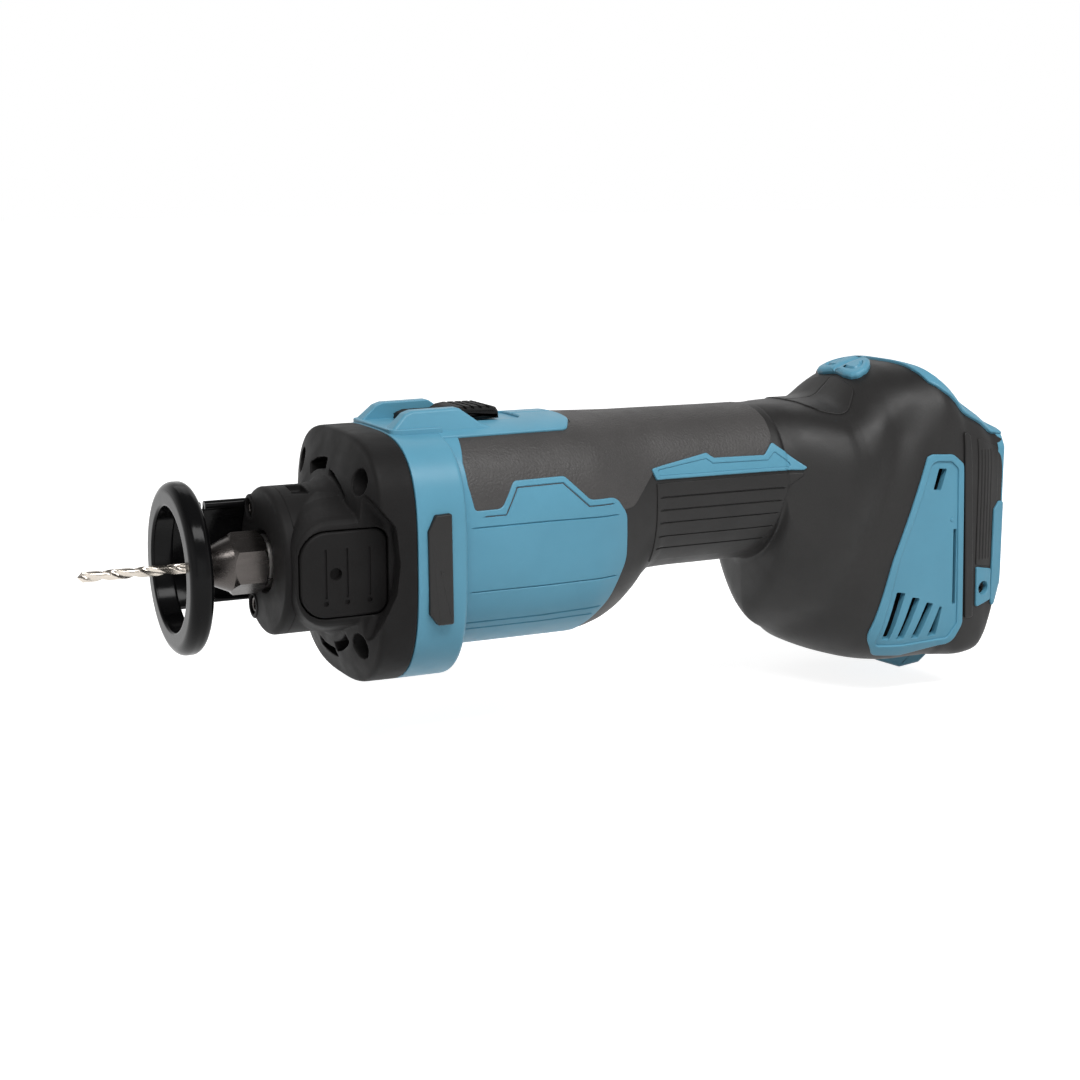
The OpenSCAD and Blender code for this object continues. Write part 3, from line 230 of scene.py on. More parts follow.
def fillet(outline, radius, step=0.8, closed=True):
    """An outline with its corners rounded, and points about every step along it. radius is one number or
    one for each corner."""
    pts = [np.array(p, float) for p in outline]
    count = len(pts)
    radii = list(radius) if hasattr(radius, "__len__") else [radius] * count
    out = []
    for i, p in enumerate(pts):
        if not closed and i in (0, count - 1):
            out.append(p)
            continue
        before = pts[i - 1] - p
        after = pts[(i + 1) % count] - p
        run_a = np.linalg.norm(before)
        run_b = np.linalg.norm(after)
        before = before / run_a
        after = after / run_b
        half = math.acos(float(np.clip(before @ after, -1, 1))) / 2
        if radii[i] <= 0 or half > math.radians(88):
            out.append(p)
            continue
        reach = min(radii[i] / math.tan(half), 0.48 * run_a, 0.48 * run_b)
        r = reach * math.tan(half)
        middle = p + (before + after) / np.linalg.norm(before + after) * (r / math.sin(half))
        start = p + before * reach - middle
        turn = math.pi - 2 * half
        sign = 1 if before[0] * after[1] - before[1] * after[0] < 0 else -1
        pieces = max(3, int(math.ceil(r * turn / (step * 0.6))))
        for k in range(pieces + 1):
            a = sign * turn * k / pieces
            c, s = math.cos(a), math.sin(a)
            out.append(middle + np.array([c * start[0] - s * start[1], s * start[0] + c * start[1]]))
    dense = []
    last = len(out) if closed else len(out) - 1
    for i in range(last):
        a = out[i]
        b = out[(i + 1) % len(out)]
        pieces = max(1, int(math.ceil(np.linalg.norm(b - a) / step)))
        dense.extend([a + (b - a) * k / pieces for k in range(pieces)])
    if not closed:
        dense.append(out[-1])
    return np.array(dense)


def area(loop):
    x, y = loop[:, 0], loop[:, 1]
    return 0.5 * float(np.sum(x * np.roll(y, -1) - y * np.roll(x, -1)))


def anticlockwise(loop):
    return loop if area(loop) > 0 else loop[::-1]


def inward(loop, scale=None):
    """Unit steps to the left of an outline's run; scale gives each axis's real length at each point."""
    scale = np.ones_like(loop) if scale is None else scale
    run = (np.roll(loop, -1, axis=0) - np.roll(loop, 1, axis=0)) * scale
    run = run / np.maximum(np.linalg.norm(run, axis=1), 1e-9)[:, None]
    return np.stack([-run[:, 1], run[:, 0]], axis=1) / scale


def ring_faces(rings, count):
    faces = []
    for i in range(rings - 1):
        a = i * count
        b = a + count
        for k in range(count):
            n = (k + 1) % count
            faces.append([a + k, a + n, b + n, b + k])
    return faces


# Angles at which a rolled edge has its rings
ROLL_STEPS = 4
ROLL_ANGLES = [math.pi / 2 * k / ROLL_STEPS for k in range(ROLL_STEPS + 1)]
# The roll of an edge that stays sharp
SHARP = 0.01


def slab(outline, low, high, roll, foot_roll=0.0):
    """A plate with this outline in X and Y between two heights, with its upper edge rolled, and its lower
    edge too if asked."""
    loop = anticlockwise(np.asarray(outline))
    step_in = inward(loop)
    rings = []

    def ring(into, height):
        rings.append(np.column_stack([loop + step_in * into, np.full(len(loop), height)]))

    if foot_roll > 0:
        for a in ROLL_ANGLES:
            ring(foot_roll * (1 - math.sin(a)), low + foot_roll * (1 - math.cos(a)))
    else:
        ring(0, low)
    for a in ROLL_ANGLES:
        ring(roll * (1 - math.cos(a)), high - roll + roll * math.sin(a))
    return loft(rings)


def side_plate(outline, low, high, roll, foot_roll=0.0):
    """A slab drawn in X and Z that stands out along +Y."""
    points, faces = slab(outline, low, high, roll, foot_roll)
    return np.column_stack([points[:, 0], points[:, 2], points[:, 1]]), [f[::-1] for f in faces]


def end_plate(outline, back, front, roll):
    """A slab drawn in Y and Z, with its rolled edge at the back."""
    points, faces = slab(outline, -front, -back, roll)
    return np.column_stack([-points[:, 2], points[:, 0], points[:, 1]]), [f[::-1] for f in faces]


def lathe(profile, segments=96):
    """A closed profile of X and radius, turned about the spindle axis."""
    profile = np.asarray(profile)
    turn = np.linspace(0, 2 * math.pi, segments, endpoint=False)
    points = [[x, r * math.cos(a), r * math.sin(a)] for a in turn for x, r in profile]
    count = len(profile)
    faces = []
    for i in range(segments):
        n = (i + 1) % segments
        for k in range(count):
            m = (k + 1) % count
            faces.append([i * count + k, n * count + k, n * count + m, i * count + m])
    if area(profile) > 0:
        faces = [f[::-1] for f in faces]
    return np.array(points), faces


def loft(loops):
    """A closed solid through loops of points that match."""
    count = len(loops[0])
    faces = ring_faces(len(loops), count)
    faces.append(list(range(count))[::-1])
    faces.append([(len(loops) - 1) * count + k for k in range(count)])
    return np.vstack(loops), faces


def box(x0, x1, y0, y1, z0, z1):
    loops = [np.array([[x, y0, z0], [x, y1, z0], [x, y1, z1], [x, y0, z1]]) for x in (x0, x1)]
    return loft(loops)


# The body's skin: sections along X with their underside, top, half width and corner exponents

X_MOTOR = -49.9
X_REAR = -254.7
STATIONS = np.array([
    [X_MOTOR, -30.2, 40.3, 33, 2.7, 2.7], [-97, -30.1, 40.3, 32.9, 2.7, 2.7],
    [-104, -29, 40.2, 31.6, 2.6, 2.6], [-111, -26.4, 40.1, 29.4, 2.5, 2.5],
    [-118, -21.4, 40, 27.2, 2.4, 2.4], [-123, -16.3, 40, 26, 2.3, 2.3],
    [-127, -13.5, 40, 25.4, 2.3, 2.3], [-140, -13, 39.9, 25.4, 2.3, 2.3],
    [-162, -13, 39.8, 25.4, 2.3, 2.2], [-166, -13, 39.8, 25.6, 2.3, 2.05],
    [-170, -13.8, 39.8, 26, 2.3, 1.8], [-171.4, -17, 39.8, 26.4, 2.3, 1.5],
    [-172.2, -25, 39.8, 26.7, 2.3, 1.35], [-173, -31.4, 39.8, 27, 2.4, 1.3],
    [-175, -36, 39.8, 27.8, 2.5, 1.4], [-180, -40.4, 39.8, 30, 2.9, 1.75],
    [-186, -44.2, 39.8, 32.4, 3, 2.3], [-193, -47.2, 39.7, 34.8, 2.8, 3.2],
    [-196.4, -48.1, 39.8, 35.7, 2.6, 3.8], [-199.6, -48.7, 40.8, 36.3, 2.5, 4.6],
    [-203, -49.2, 44, 36.9, 2.4, 5.2], [-206.4, -49.5, 47.2, 37.2, 2.4, 5.8],
    [-210, -49.6, 49.2, 37.5, 2.4, 6.5], [-214, -49.6, 50.6, 37.6, 2.5, 7],
    [-219, -49.6, 51.7, 37.6, 2.8, 7], [-224, -49.6, 52, 37.6, 3.2, 7],
    [-228, -49.6, 51.2, 37.6, 4, 7], [-231, -49.6, 49.2, 37.6, 4.6, 8],
    [-234.2, -49.6, 46, 37.6, 5, 9], [-237.4, -49.5, 41.8, 37.5, 5.4, 11],
    [-241.2, -49, 38.6, 37.3, 6, 13], [-246, -47.8, 34.9, 36.7, 7, 14],
    [-249, -44.6, 32.8, 36, 7, 14], [-251.6, -38, 31.2, 35.5, 8, 14],
    [X_REAR, -28, 29.6, 35, 10, 14]
])[::-1]


def smooth_track(xs, ys, at):
    """A curve through the stations that never overshoots them."""
    gap = np.diff(xs)
    slope = np.diff(ys) / gap
    ends = np.zeros(len(xs))
    for i in range(1, len(xs) - 1):
        a, b = slope[i - 1], slope[i]
        if a * b > 0:
            w1 = 2 * gap[i] + gap[i - 1]
            w2 = gap[i] + 2 * gap[i - 1]
            ends[i] = (w1 + w2) / (w1 / a + w2 / b)
    i = np.clip(np.searchsorted(xs, at, side="right") - 1, 0, len(xs) - 2)
    s = (at - xs[i]) / gap[i]
    return (
        ys[i] * (1 + 2 * s) * (1 - s) ** 2 + gap[i] * ends[i] * s * (1 - s) ** 2
        + ys[i + 1] * s * s * (3 - 2 * s) + gap[i] * ends[i + 1] * s * s * (s - 1)
    )


TRACK_X = np.linspace(X_REAR, X_MOTOR, 821)
TRACKS = [smooth_track(STATIONS[:, 0], STATIONS[:, n], TRACK_X) for n in range(1, 6)]
# The way around a half section runs from 0 at the lower seam to GIRTH at the upper one, by length
GIRTH = 140
QUARTER = math.pi / 2
TURNS = np.linspace(-QUARTER, QUARTER, 1441)


def section_at(x):
    return [np.interp(x, TRACK_X, track) for track in TRACKS]


def section_point(section, turn):
    """Half width and height of a section's point in the direction turn."""
    low, top, half, n_top, n_low = section
    n = np.where(turn > 0, n_top, n_low)
    out = np.abs(np.cos(turn))
    up = np.abs(np.sin(turn))
    reach = (out ** n + up ** n) ** (-1 / n)
    return half * out * reach, (low + top) / 2 + (top - low) / 2 * np.sign(turn) * up * reach


def way_around(x):
    y, z = section_point(section_at(x), TURNS)
    run = np.concatenate([[0], np.cumsum(np.hypot(np.diff(y), np.diff(z)))])
    return run / run[-1] * GIRTH


WAYS = np.array([way_around(x) for x in TRACK_X])
TURN_TABLE = np.array([np.interp(np.linspace(0, GIRTH, 1401), way, TURNS) for way in WAYS])


def look_up(table, x, value, low, high):
    """A table's value at a place along X, its rows, and at a value from low to high, its columns."""
    rows, columns = table.shape
    row = np.clip((x - X_REAR) / (X_MOTOR - X_REAR), 0, 0.99999) * (rows - 1)
    column = np.clip((value - low) / (high - low), 0, 0.99999) * (columns - 1)
    i, j = row.astype(int), column.astype(int)
    f, g = row - i, column - j
    near = table[i, j] * (1 - g) + table[i, j + 1] * g
    far = table[i + 1, j] * (1 - g) + table[i + 1, j + 1] * g
    return near * (1 - f) + far * f


def hill(value, middle, width):
    return np.exp(-((value - middle) / width) ** 2)


# The foot's hollow: its place, its slant, and how high up and over what height it fades
HOLLOW_X = -200.5
HOLLOW_SLANT = 0.42
HOLLOW_REACH = 45
HOLLOW_FADE = 16
# Height, place ahead of the hollow's middle and width of each swell, and of the hollow
SWELLS = [(1.6, 15, 10), (-2, 0, 5.6), (0.4, -10, 6)]


def relief(x, z):
    """Heights of the foot's side: a hollow that slants down and forward, and a swell ahead of it."""
    off = x - HOLLOW_X + HOLLOW_SLANT * z
    fade = np.clip((HOLLOW_REACH - np.abs(z)) / HOLLOW_FADE, 0, 1)
    fade = fade * fade * (3 - 2 * fade)
    return fade * sum(height * hill(off, place, width) for height, place, width in SWELLS)


def skin_flat(x, v):
    turn = look_up(TURN_TABLE, x, v, 0, GIRTH)
    y, z = section_point(section_at(x), turn)
    return np.stack([x, y, z], axis=-1)


# Steps along X and around the skin that give its slope, and how near to a seam that is taken
SLOPE_X = 0.3
SLOPE_V = 0.12
SEAM_MARGIN = 0.15


def skin_normal(x, v):
    v = np.clip(v, SEAM_MARGIN, GIRTH - SEAM_MARGIN)
    along = skin_flat(x + SLOPE_X, v) - skin_flat(x - SLOPE_X, v)
    around = skin_flat(x, v + SLOPE_V) - skin_flat(x, v - SLOPE_V)
    normal = np.cross(around, along)
    return normal / np.linalg.norm(normal, axis=-1)[..., None]


def skin(x, v, lift=0.0):
    """Points on the left half of the skin: x along the tool, v around it from the lower seam up."""
    x = np.asarray(x, float)
    v = np.clip(np.asarray(v, float), 0, GIRTH)
    points = skin_flat(x, v)
    height = relief(x, points[..., 2]) + lift
    moved = points + skin_normal(x, v) * height[..., None]
    seam = (v <= 0) | (v >= GIRTH)
    moved[..., 1] = np.where(seam, 0, np.maximum(moved[..., 1], 0))
    return moved


def around_at(x, z):
    """How far around the skin the height z lies."""
    x = np.asarray(x, float)
    low, top, _, n_top, n_low = section_at(x)
    up = np.clip((z - (low + top) / 2) / ((top - low) / 2), -1, 1)
    n = np.where(up > 0, n_top, n_low)
    out = (1 - np.abs(up) ** n) ** (1 / n)
    return look_up(WAYS, x, np.arctan2(up, out), -QUARTER, QUARTER)


def around_top(x, y):
    """How far around the upper half of the skin the half width y lies."""
    x = np.asarray(x, float)
    _, _, half, n_top, _ = section_at(x)
    out = np.clip(y / half, 0, 1)
    up = (1 - out ** n_top) ** (1 / n_top)
    return look_up(WAYS, x, np.arctan2(up, out), -QUARTER, QUARTER)


def on_side(outline, around=around_at):
    """An outline in X and Z, laid on the skin as X and the way around."""
    outline = np.asarray(outline, float)
    return np.column_stack([outline[:, 0], around(outline[:, 0], outline[:, 1])])


def on_top(outline):
    """An outline in X and Y, laid on the skin's upper half."""
    return on_side(outline, around_top)


def inside(points, loop):
    x, y = points[:, 0][:, None], points[:, 1][:, None]
    x0, y0 = loop[:, 0][None], loop[:, 1][None]
    x1, y1 = np.roll(loop[:, 0], -1)[None], np.roll(loop[:, 1], -1)[None]
    rise = np.where(y1 == y0, 1e-9, y1 - y0)
    hit = ((y0 > y) != (y1 > y)) & (x < (x1 - x0) * (y - y0) / rise + x0)
    return np.sum(hit, axis=1) % 2 == 1


def distance(points, loop):
    return np.sqrt(np.min(np.sum((points[:, None] - loop[None]) ** 2, axis=2), axis=1))


# Step around the skin that gives its scale there, and the least scale
SCALE_STEP = 0.2
LEAST_SCALE = 0.4


def panel(outline, lift, roll, skirt, holes=(), grooves=(), step=1.6, groove=(0.45, 0.5)):
    """A panel that lies on the skin, whose outline, holes and grooves are laid there already. Its edge is
    rolled, and its rim goes down by skirt. groove is a groove's half width and depth."""
    shape = Parts()
    groove_half, groove_depth = groove

    def rim(loop, side):
        scale = np.ones_like(loop)
        up = skin_flat(loop[:, 0], np.clip(loop[:, 1] + SCALE_STEP, 0, GIRTH))
        down = skin_flat(loop[:, 0], np.clip(loop[:, 1] - SCALE_STEP, 0, GIRTH))
        length = np.linalg.norm(up - down, axis=1) / (2 * SCALE_STEP)
        scale[:, 1] = np.maximum(length, LEAST_SCALE)
        step_in = inward(loop, scale) * side
        rings = [skin(loop[:, 0], loop[:, 1], lift - skirt)]
        flat = loop
        for a in ROLL_ANGLES:
            flat = loop + step_in * roll * (1 - math.cos(a))
            flat[:, 1] = np.where(loop[:, 1] <= 0, 0, np.where(loop[:, 1] >= GIRTH, GIRTH, flat[:, 1]))
            rings.append(skin(flat[:, 0], flat[:, 1], lift - roll + roll * math.sin(a)))
        faces = ring_faces(len(rings), len(loop))
        if side > 0:
            faces = [f[::-1] for f in faces]
        shape.add(np.vstack(rings), faces)
        return flat

    inner = rim(anticlockwise(outline), 1)
    edges_of = [inner]
    for hole in holes:
        edges_of.append(rim(anticlockwise(hole), -1))
    low = inner.min(axis=0)
    high = inner.max(axis=0)
    grid = np.stack(np.meshgrid(
        np.arange(low[0] + step / 2, high[0], step), np.arange(low[1] + step / 2, high[1], step)
    ), axis=-1).reshape(-1, 2)
    grid = grid[inside(grid, inner)]
    for loop in edges_of[1:]:
        grid = grid[~inside(grid, loop)]
    lines = []
    for run in grooves:
        heading = np.gradient(run, axis=0)
        heading = heading / np.linalg.norm(heading, axis=1)[:, None]
        off = np.stack([-heading[:, 1], heading[:, 0]], axis=1) * groove_half
        fade = np.ones(len(run))
        fade[[0, -1]] = 0
        lines.append((run, run + off * fade[:, None], run - off * fade[:, None]))
    for loop in edges_of:
        grid = grid[distance(grid, loop) > step * 0.55]
    for run, _, _ in lines:
        grid = grid[distance(grid, run) > step * 0.8]
    verts = []
    edges = []
    paths = [(loop, len(loop)) for loop in edges_of]
    paths.extend([(path, len(path) - 1) for line in lines for path in line])
    for path, count in paths:
        base = len(verts)
        verts.extend(path.tolist())
        edges.extend([(base + k, base + (k + 1) % len(path)) for k in range(count)])
    verts.extend(grid.tolist())
    got, _, tris, _, _, _ = delaunay_2d_cdt([Vector(p) for p in verts], edges, [], 0, 1e-5)
    flat = np.array([[p[0], p[1]] for p in got])
    centres = np.array([flat[list(t)].mean(axis=0) for t in tris])
    keep = inside(centres, inner)
    for loop in edges_of[1:]:
        keep &= ~inside(centres, loop)
    height = np.full(len(flat), float(lift))
    for run, _, _ in lines:
        near = distance(flat, run[1:-1])
        height -= groove_depth * (near < groove_half * 0.3)
    faces = []
    for t, good in zip(tris, keep):
        if good:
            a, b, c = (flat[i] for i in t)
            turn = (b[0] - a[0]) * (c[1] - a[1]) - (b[1] - a[1]) * (c[0] - a[0])
            faces.append(list(t)[::-1] if turn > 0 else list(t))
    shape.add(skin(flat[:, 0], flat[:, 1], height), faces)
    return shape


def half_body(xs, rows, drop):
    """The left half of the body as a closed solid, sunk by drop under the panels."""
    grid_x, grid_v = np.meshgrid(xs, np.linspace(0, GIRTH, rows), indexing="ij")
    return Parts().add(*loft(list(skin(grid_x, grid_v, -drop))))


# Panels on the left side, and their mirror images on the right

MOTOR_PANEL = [
    (X_MOTOR, 38.8), (-56.2, 38.8), (-55.9, 36.9), (-54, 30.4), (-54.2, 24), (-55.7, 16.2), (-64.7, 16.3),
    (-69.4, 24.3), (-86.8, 24.6), (-95.2, 16.7), (-105, 16.7), (-109.4, 11), (-109.6, -3.6), (-104.3, -16.5),
    (-97, -26), (-90, -60), (X_MOTOR, -60)
]
MOTOR_ROUND = [0, 0, 0.6, 0.8, 0, 1.2, 3, 2, 2, 3, 5, 6, 12, 14, 8, 0, 0]
MOTOR_GROOVES = [
    [(-58, 14.2), (-66, 14.3), (-70.4, 22.2), (-86, 22.5), (-94.6, 14.7), (-104.4, 14.7)],
    [(-54, 11), (-80, 11.2), (-106, 11)], [(-53.5, -9), (-80, -9), (-106, -8.6)],
    [(-53.5, -19.2), (-80, -19.2), (-101.5, -18.4)], [(-53.5, -21.4), (-80, -21.4), (-99, -20.8)]
]
STRIP = [
    (X_MOTOR, 9.3), (-80.6, 9.3), (-82.8, 6.5), (-82.8, 0), (-97.2, 0), (-97.2, 12.5), (-93.5, 19),
    (X_MOTOR, 19.6)
]
STRIP_ROUND = [0, 2, 2, 0, 0, 5, 3, 0]
ACCENT = [
    (-120.8, 23.6), (-122.4, 20), (-177.4, 19.8), (-178.6, 20.6), (-167.6, 29), (-164, 25.2),
    (-144.6, 25.5), (-142.1, 27.2)
]
ACCENT_ROUND = [0.6, 0.6, 0.4, 0.4, 0.8, 1, 1, 0.8]
ACCENT_FIELD = [
    (-122.8, 22.9), (-123.6, 21.2), (-174.4, 21), (-167.8, 26), (-165, 23.5), (-144, 23.8), (-141.6, 25.4)
]
RIB_HEIGHTS = [18.9, 14.2, 10, 5.8, 1.2, -3, -7.8]
RIB_BACKS = [-178.4, -172, -171, -170.4, -169.4, -167.2, -164.6]
RIB_FRONT = -122.6
# How far the grooves between the ribs stop short of the panel's front and back
RIB_MARGINS = (1, 0.8)
FOOT_PANEL = [
    (-220.4, 22.6), (-222.4, 23.4), (-230.7, 23), (-235.2, 19.4), (-237.2, -36.4), (-233.6, -43),
    (-214, -45.8), (-204, -45.2), (-199.6, -38), (-207.2, -11.8)
]
FOOT_ROUND = [1.5, 2.5, 3.5, 2.5, 4, 5, 8, 3, 6, 0]
FOOT_FIELD = [
    (-222, 20), (-224.2, 20.9), (-230, 20.6), (-232.9, 18), (-234.8, -36), (-231.4, -41), (-214, -41.8),
    (-203, -41.4), (-209.8, -11.8)
]
FOOT_VENTS = [
    [(-209.4, -22.8), (-212.9, -23.4), (-208, -39.6), (-205.2, -39.4)],
    [(-215.9, -25.2), (-219.1, -25.8), (-213.4, -39.8), (-210.6, -39.7)],
    [(-222, -27.5), (-224.8, -28.2), (-219.6, -40), (-216.6, -39.9)],
    [(-227.6, -29.4), (-228.5, -29.8), (-226.9, -39.8), (-223.4, -40)]
]
SIGHT_SLOT = [(-225.1, 18.5), (-228.4, 18.2), (-226, 10.9), (-222.9, 11.3)]
SLIT = [(-232, -2.8), (-233.3, -2.9), (-233.9, -29.2), (-232.7, -29.1)]
MARK = (-231.2, 0.4)
MARK_R = 0.8
ROOF = [
    (-225.4, 0), (-225.4, 20), (-226.4, 28), (-230, 31.6), (-238, 33), (-246, 33), (-254.6, 32.4),
    (-254.6, 0)
]
ROOF_ROUND = [0, 4, 5, 4, 3, 3, 0, 0]
ROOF_FIELD = [
    (-228, 0), (-228, 18), (-229.2, 26), (-232, 29), (-238, 30.4), (-246, 30.4), (-252.4, 30), (-252.4, 0)
]
BOSS = [
    (-207.6, 0), (-206.8, 6), (-207.2, 10), (-209.2, 12), (-212.8, 11.6), (-215.8, 9), (-218.6, 5),
    (-219.6, 0)
]
BOSS_ROUND = [0, 3, 2, 2, 2, 4, 3, 0]
BOSS_LOOP = [(-210.6, 0), (-209.8, 5), (-210.4, 8.4), (-213, 8), (-215.4, 5)]
BOSS_RISE = 1.9
HUMP_CAP = [(-187, 0), (-187.4, 12), (-189.4, 17), (-193.6, 20), (-200.4, 19.6), (-205.2, 15), (-206.4, 0)]
HUMP_ROUND = [0, 5, 5, 8, 6, 3, 0]
REAR_RIDGE = [(-235.6, 31), (-238.4, 28.6), (-241.5, -34.6), (-238.1, -34.6), (-235.6, 18)]
REAR_RIBS = [(-241.9, 28.2), (-251.6, 23.8), (-251.8, 4.6), (-249.6, 2), (-249.6, -17.6), (-242.4, -16.4)]
REAR_RIB_LINES = [-243.4, -244.9, -246.4, -247.9]
REAR_RIB_SPAN = (24, -15)
REAR_RIB_SLANT = 0.4
REAR_PLATE_LOW = [(-254.6, 5), (-252.4, 5), (-250.2, 2.4), (-250.2, -29), (-251.2, -33), (-254.6, -24)]
LOZENGE = [(-242.5, -17), (-249.7, -18.4), (-250, -29.4), (-242.9, -31.2)]
HOOK = (-246.1, -24.8)
HOOK_R = 2.3


def circle(x, z, r, count=28):
    turn = np.linspace(0, 2 * math.pi, count, endpoint=False)
    return np.column_stack([x + r * np.cos(turn), z + r * np.sin(turn)])


VENTS = [fillet(vent, 0.5, 0.9) for vent in FOOT_VENTS]
SLOTS_CUT = [fillet(SIGHT_SLOT, 0.5, 0.9), fillet(SLIT, 0.3, 0.9)]
PROUD = 0.35
# The blue walls of the vents go down by LOUVRE_DEPTH, and the grip under them is cut wider
LOUVRE_DEPTH = 2.4
LOUVRE_WALL = 0.5


def side(outline, radius, step=1.0):
    return on_side(fillet(outline, radius, step))


def side_line(outline, step=1.2):
    return on_side(fillet(outline, 0, step, closed=False))


def gathered(*shapes):
    """One shape from several."""
    whole = Parts()
    for shape in shapes:
        whole.add(shape.points, shape.faces)
    return whole


def blue_panels():
    cuts = [on_side(cut) for cut in VENTS + SLOTS_CUT]
    accent_field = side(ACCENT_FIELD, 0.5, 0.8)
    foot_field = side(FOOT_FIELD, 1.6, 0.9)
    roof_line = on_top(fillet(ROOF_FIELD, ROOF_ROUND, 1, closed=False))
    boss_line = on_top(fillet(BOSS_LOOP, 4, 0.8, closed=False))
    return gathered(
        panel(
            side(MOTOR_PANEL, MOTOR_ROUND), lift=PROUD, roll=0.4, skirt=2,
            grooves=[side_line(g) for g in MOTOR_GROOVES]
        ),
        panel(on_top(fillet(STRIP, STRIP_ROUND, 1)), lift=0.8, roll=0.6, skirt=3, step=1.4),
        panel(
            side(ACCENT, ACCENT_ROUND, 0.8), lift=PROUD + 0.3, roll=0.35, skirt=2,
            holes=[accent_field], step=1.1
        ),
        panel(accent_field, lift=PROUD - 0.05, roll=0.1, skirt=1, step=1.2),
        panel(
            side(FOOT_PANEL, FOOT_ROUND, 0.9), lift=PROUD + 0.25, roll=0.4, skirt=2.4,
            holes=[foot_field], step=1.2
        ),
        panel(foot_field, lift=PROUD - 0.35, roll=0.1, skirt=LOUVRE_DEPTH, holes=cuts, step=1.2),
        panel(on_side(circle(*MARK, MARK_R, count=4)), lift=PROUD - 0.1, roll=0.15, skirt=1, step=0.5),
        panel(
            on_top(fillet(ROOF, ROOF_ROUND, 1)), lift=0.9, roll=0.5, skirt=2.5, grooves=[roof_line],
            groove=(0.5, 0.5)
        ),
        panel(
            on_top(fillet(BOSS, BOSS_ROUND, 0.8)), lift=BOSS_RISE, roll=1.4, skirt=4, grooves=[boss_line],
            step=1.1, groove=(0.7, 0.8)
        ),
        panel(side(REAR_PLATE_LOW, 1, 0.9), lift=PROUD + 0.2, roll=0.3, skirt=2, step=1.2),
        panel(
            side(LOZENGE, 0.6, 0.8), lift=PROUD + 0.2, roll=0.3, skirt=2,
            holes=[on_side(circle(*HOOK, HOOK_R))], step=1
        )
    )


def rubber_panels():
    ends = list(zip(RIB_BACKS, RIB_HEIGHTS))
    outline = [(RIB_FRONT, RIB_HEIGHTS[0]), *ends, (RIB_FRONT, RIB_HEIGHTS[-1])]
    front = RIB_FRONT - RIB_MARGINS[0]
    rib_lines = [side_line([(front, z), (back + RIB_MARGINS[1], z)], 0.9) for back, z in ends[1:-1]]
    top, low = REAR_RIB_SPAN
    lines = [side_line([(x, top), (x - REAR_RIB_SLANT, low)], 1) for x in REAR_RIB_LINES]
    return gathered(
        panel(
            side(outline, 0.5, 0.9), lift=0.25, roll=0.3, skirt=1.2, grooves=rib_lines,
            step=1.2, groove=(0.5, 0.5)
        ),
        panel(on_top(fillet(HUMP_CAP, HUMP_ROUND, 1)), lift=0.3, roll=0.35, skirt=1.2),
        panel(side(REAR_RIDGE, 0.8, 0.9), lift=0.7, roll=0.5, skirt=2, step=1),
        panel(
            side(REAR_RIBS, 0.8, 0.9), lift=0.2, roll=0.3, skirt=1.5, grooves=lines,
            step=0.9, groove=(0.35, 0.45)
        )
    )


GRAIN_PANEL = [
    (-51.5, 38.5), (-51.5, 12), (-104, 12), (-112.6, 12.6), (-121.4, 22.4), (-150, 22.2), (-164.6, 24.4),
    (-168.4, 31), (-169, 36), (-168, 60), (-97.6, 60), (-97.6, 39), (-95, 38.5)
]
GRAIN_ROUND = [0, 0, 3, 5, 3, 5, 5, 5, 6, 0, 0, 1, 1]


def grown(outline, by):
    loop = anticlockwise(outline)
    return loop - inward(loop) * by


RUBBER_DROP = 0.15
BODY_ROWS = 150
# Half widths between which the foot's sides are cut
SIDE_CUT = (26, 45)
SCREWS = [
    (-108.6, -19), (-149.2, 30.8), (-149.2, -5.4), (-188.66, 30.2), (-182.54, -22), (-194.78, -34.5),
    (-219.6, 44.8)
]
# The screws' pockets: radius, depth under the skin and how far the cut goes on above it
SCREW_POCKET = 3.3
SCREW_DEPTH = 3.4
SCREW_CLEAR = 3
BAY = (-262, -248.5, -28.6, 28.6, -70, 23.3)
# The switch rod's stem slides in this slot
STEM_SLOT = (-67.2, -51.8, -3.6, 3.6, 35, 45)
# Columns of the body: closer together where the underside turns down into the foot
BODY_MARGIN = 0.3
BODY_X = np.concatenate([
    np.linspace(X_MOTOR + BODY_MARGIN, -160, 80), np.linspace(-160.8, -182, 70),
    np.linspace(-182.7, X_REAR + BODY_MARGIN, 110)
])

body = half_body(BODY_X, BODY_ROWS, RUBBER_DROP)
left_body = body.make("grip_left_shell", RUBBER)
right_body = body.mirrored().make("grip_right_shell", RUBBER)
side_cuts = Parts()
for outline in [grown(cut, LOUVRE_WALL) for cut in VENTS + SLOTS_CUT] + [circle(*HOOK, HOOK_R)]:
    side_cuts.add(*side_plate(outline, *SIDE_CUT, SHARP))
screw_cuts = Parts()
for x, z in SCREWS:
    reach = float(skin(x, around_at(x, z))[1])
    span = (reach - SCREW_DEPTH, reach + SCREW_CLEAR)
    screw_cuts.add(*side_plate(circle(x, z, SCREW_POCKET), *span, SHARP))
carve(left_body, side_cuts.make("cut", RUBBER))
carve(right_body, side_cuts.mirrored().make("cut", RUBBER))
carve(right_body, screw_cuts.mirrored().make("cut", RUBBER))
for half in (left_body, right_body):
    for cut in (BAY, STEM_SLOT):
        carve(half, Parts().add(*box(*cut)).make("cut", RUBBER))
dress(shade(left_body), "housing", "soft_grip", "grip_left")
dress(shade(right_body), "housing", "soft_grip", "grip_right")

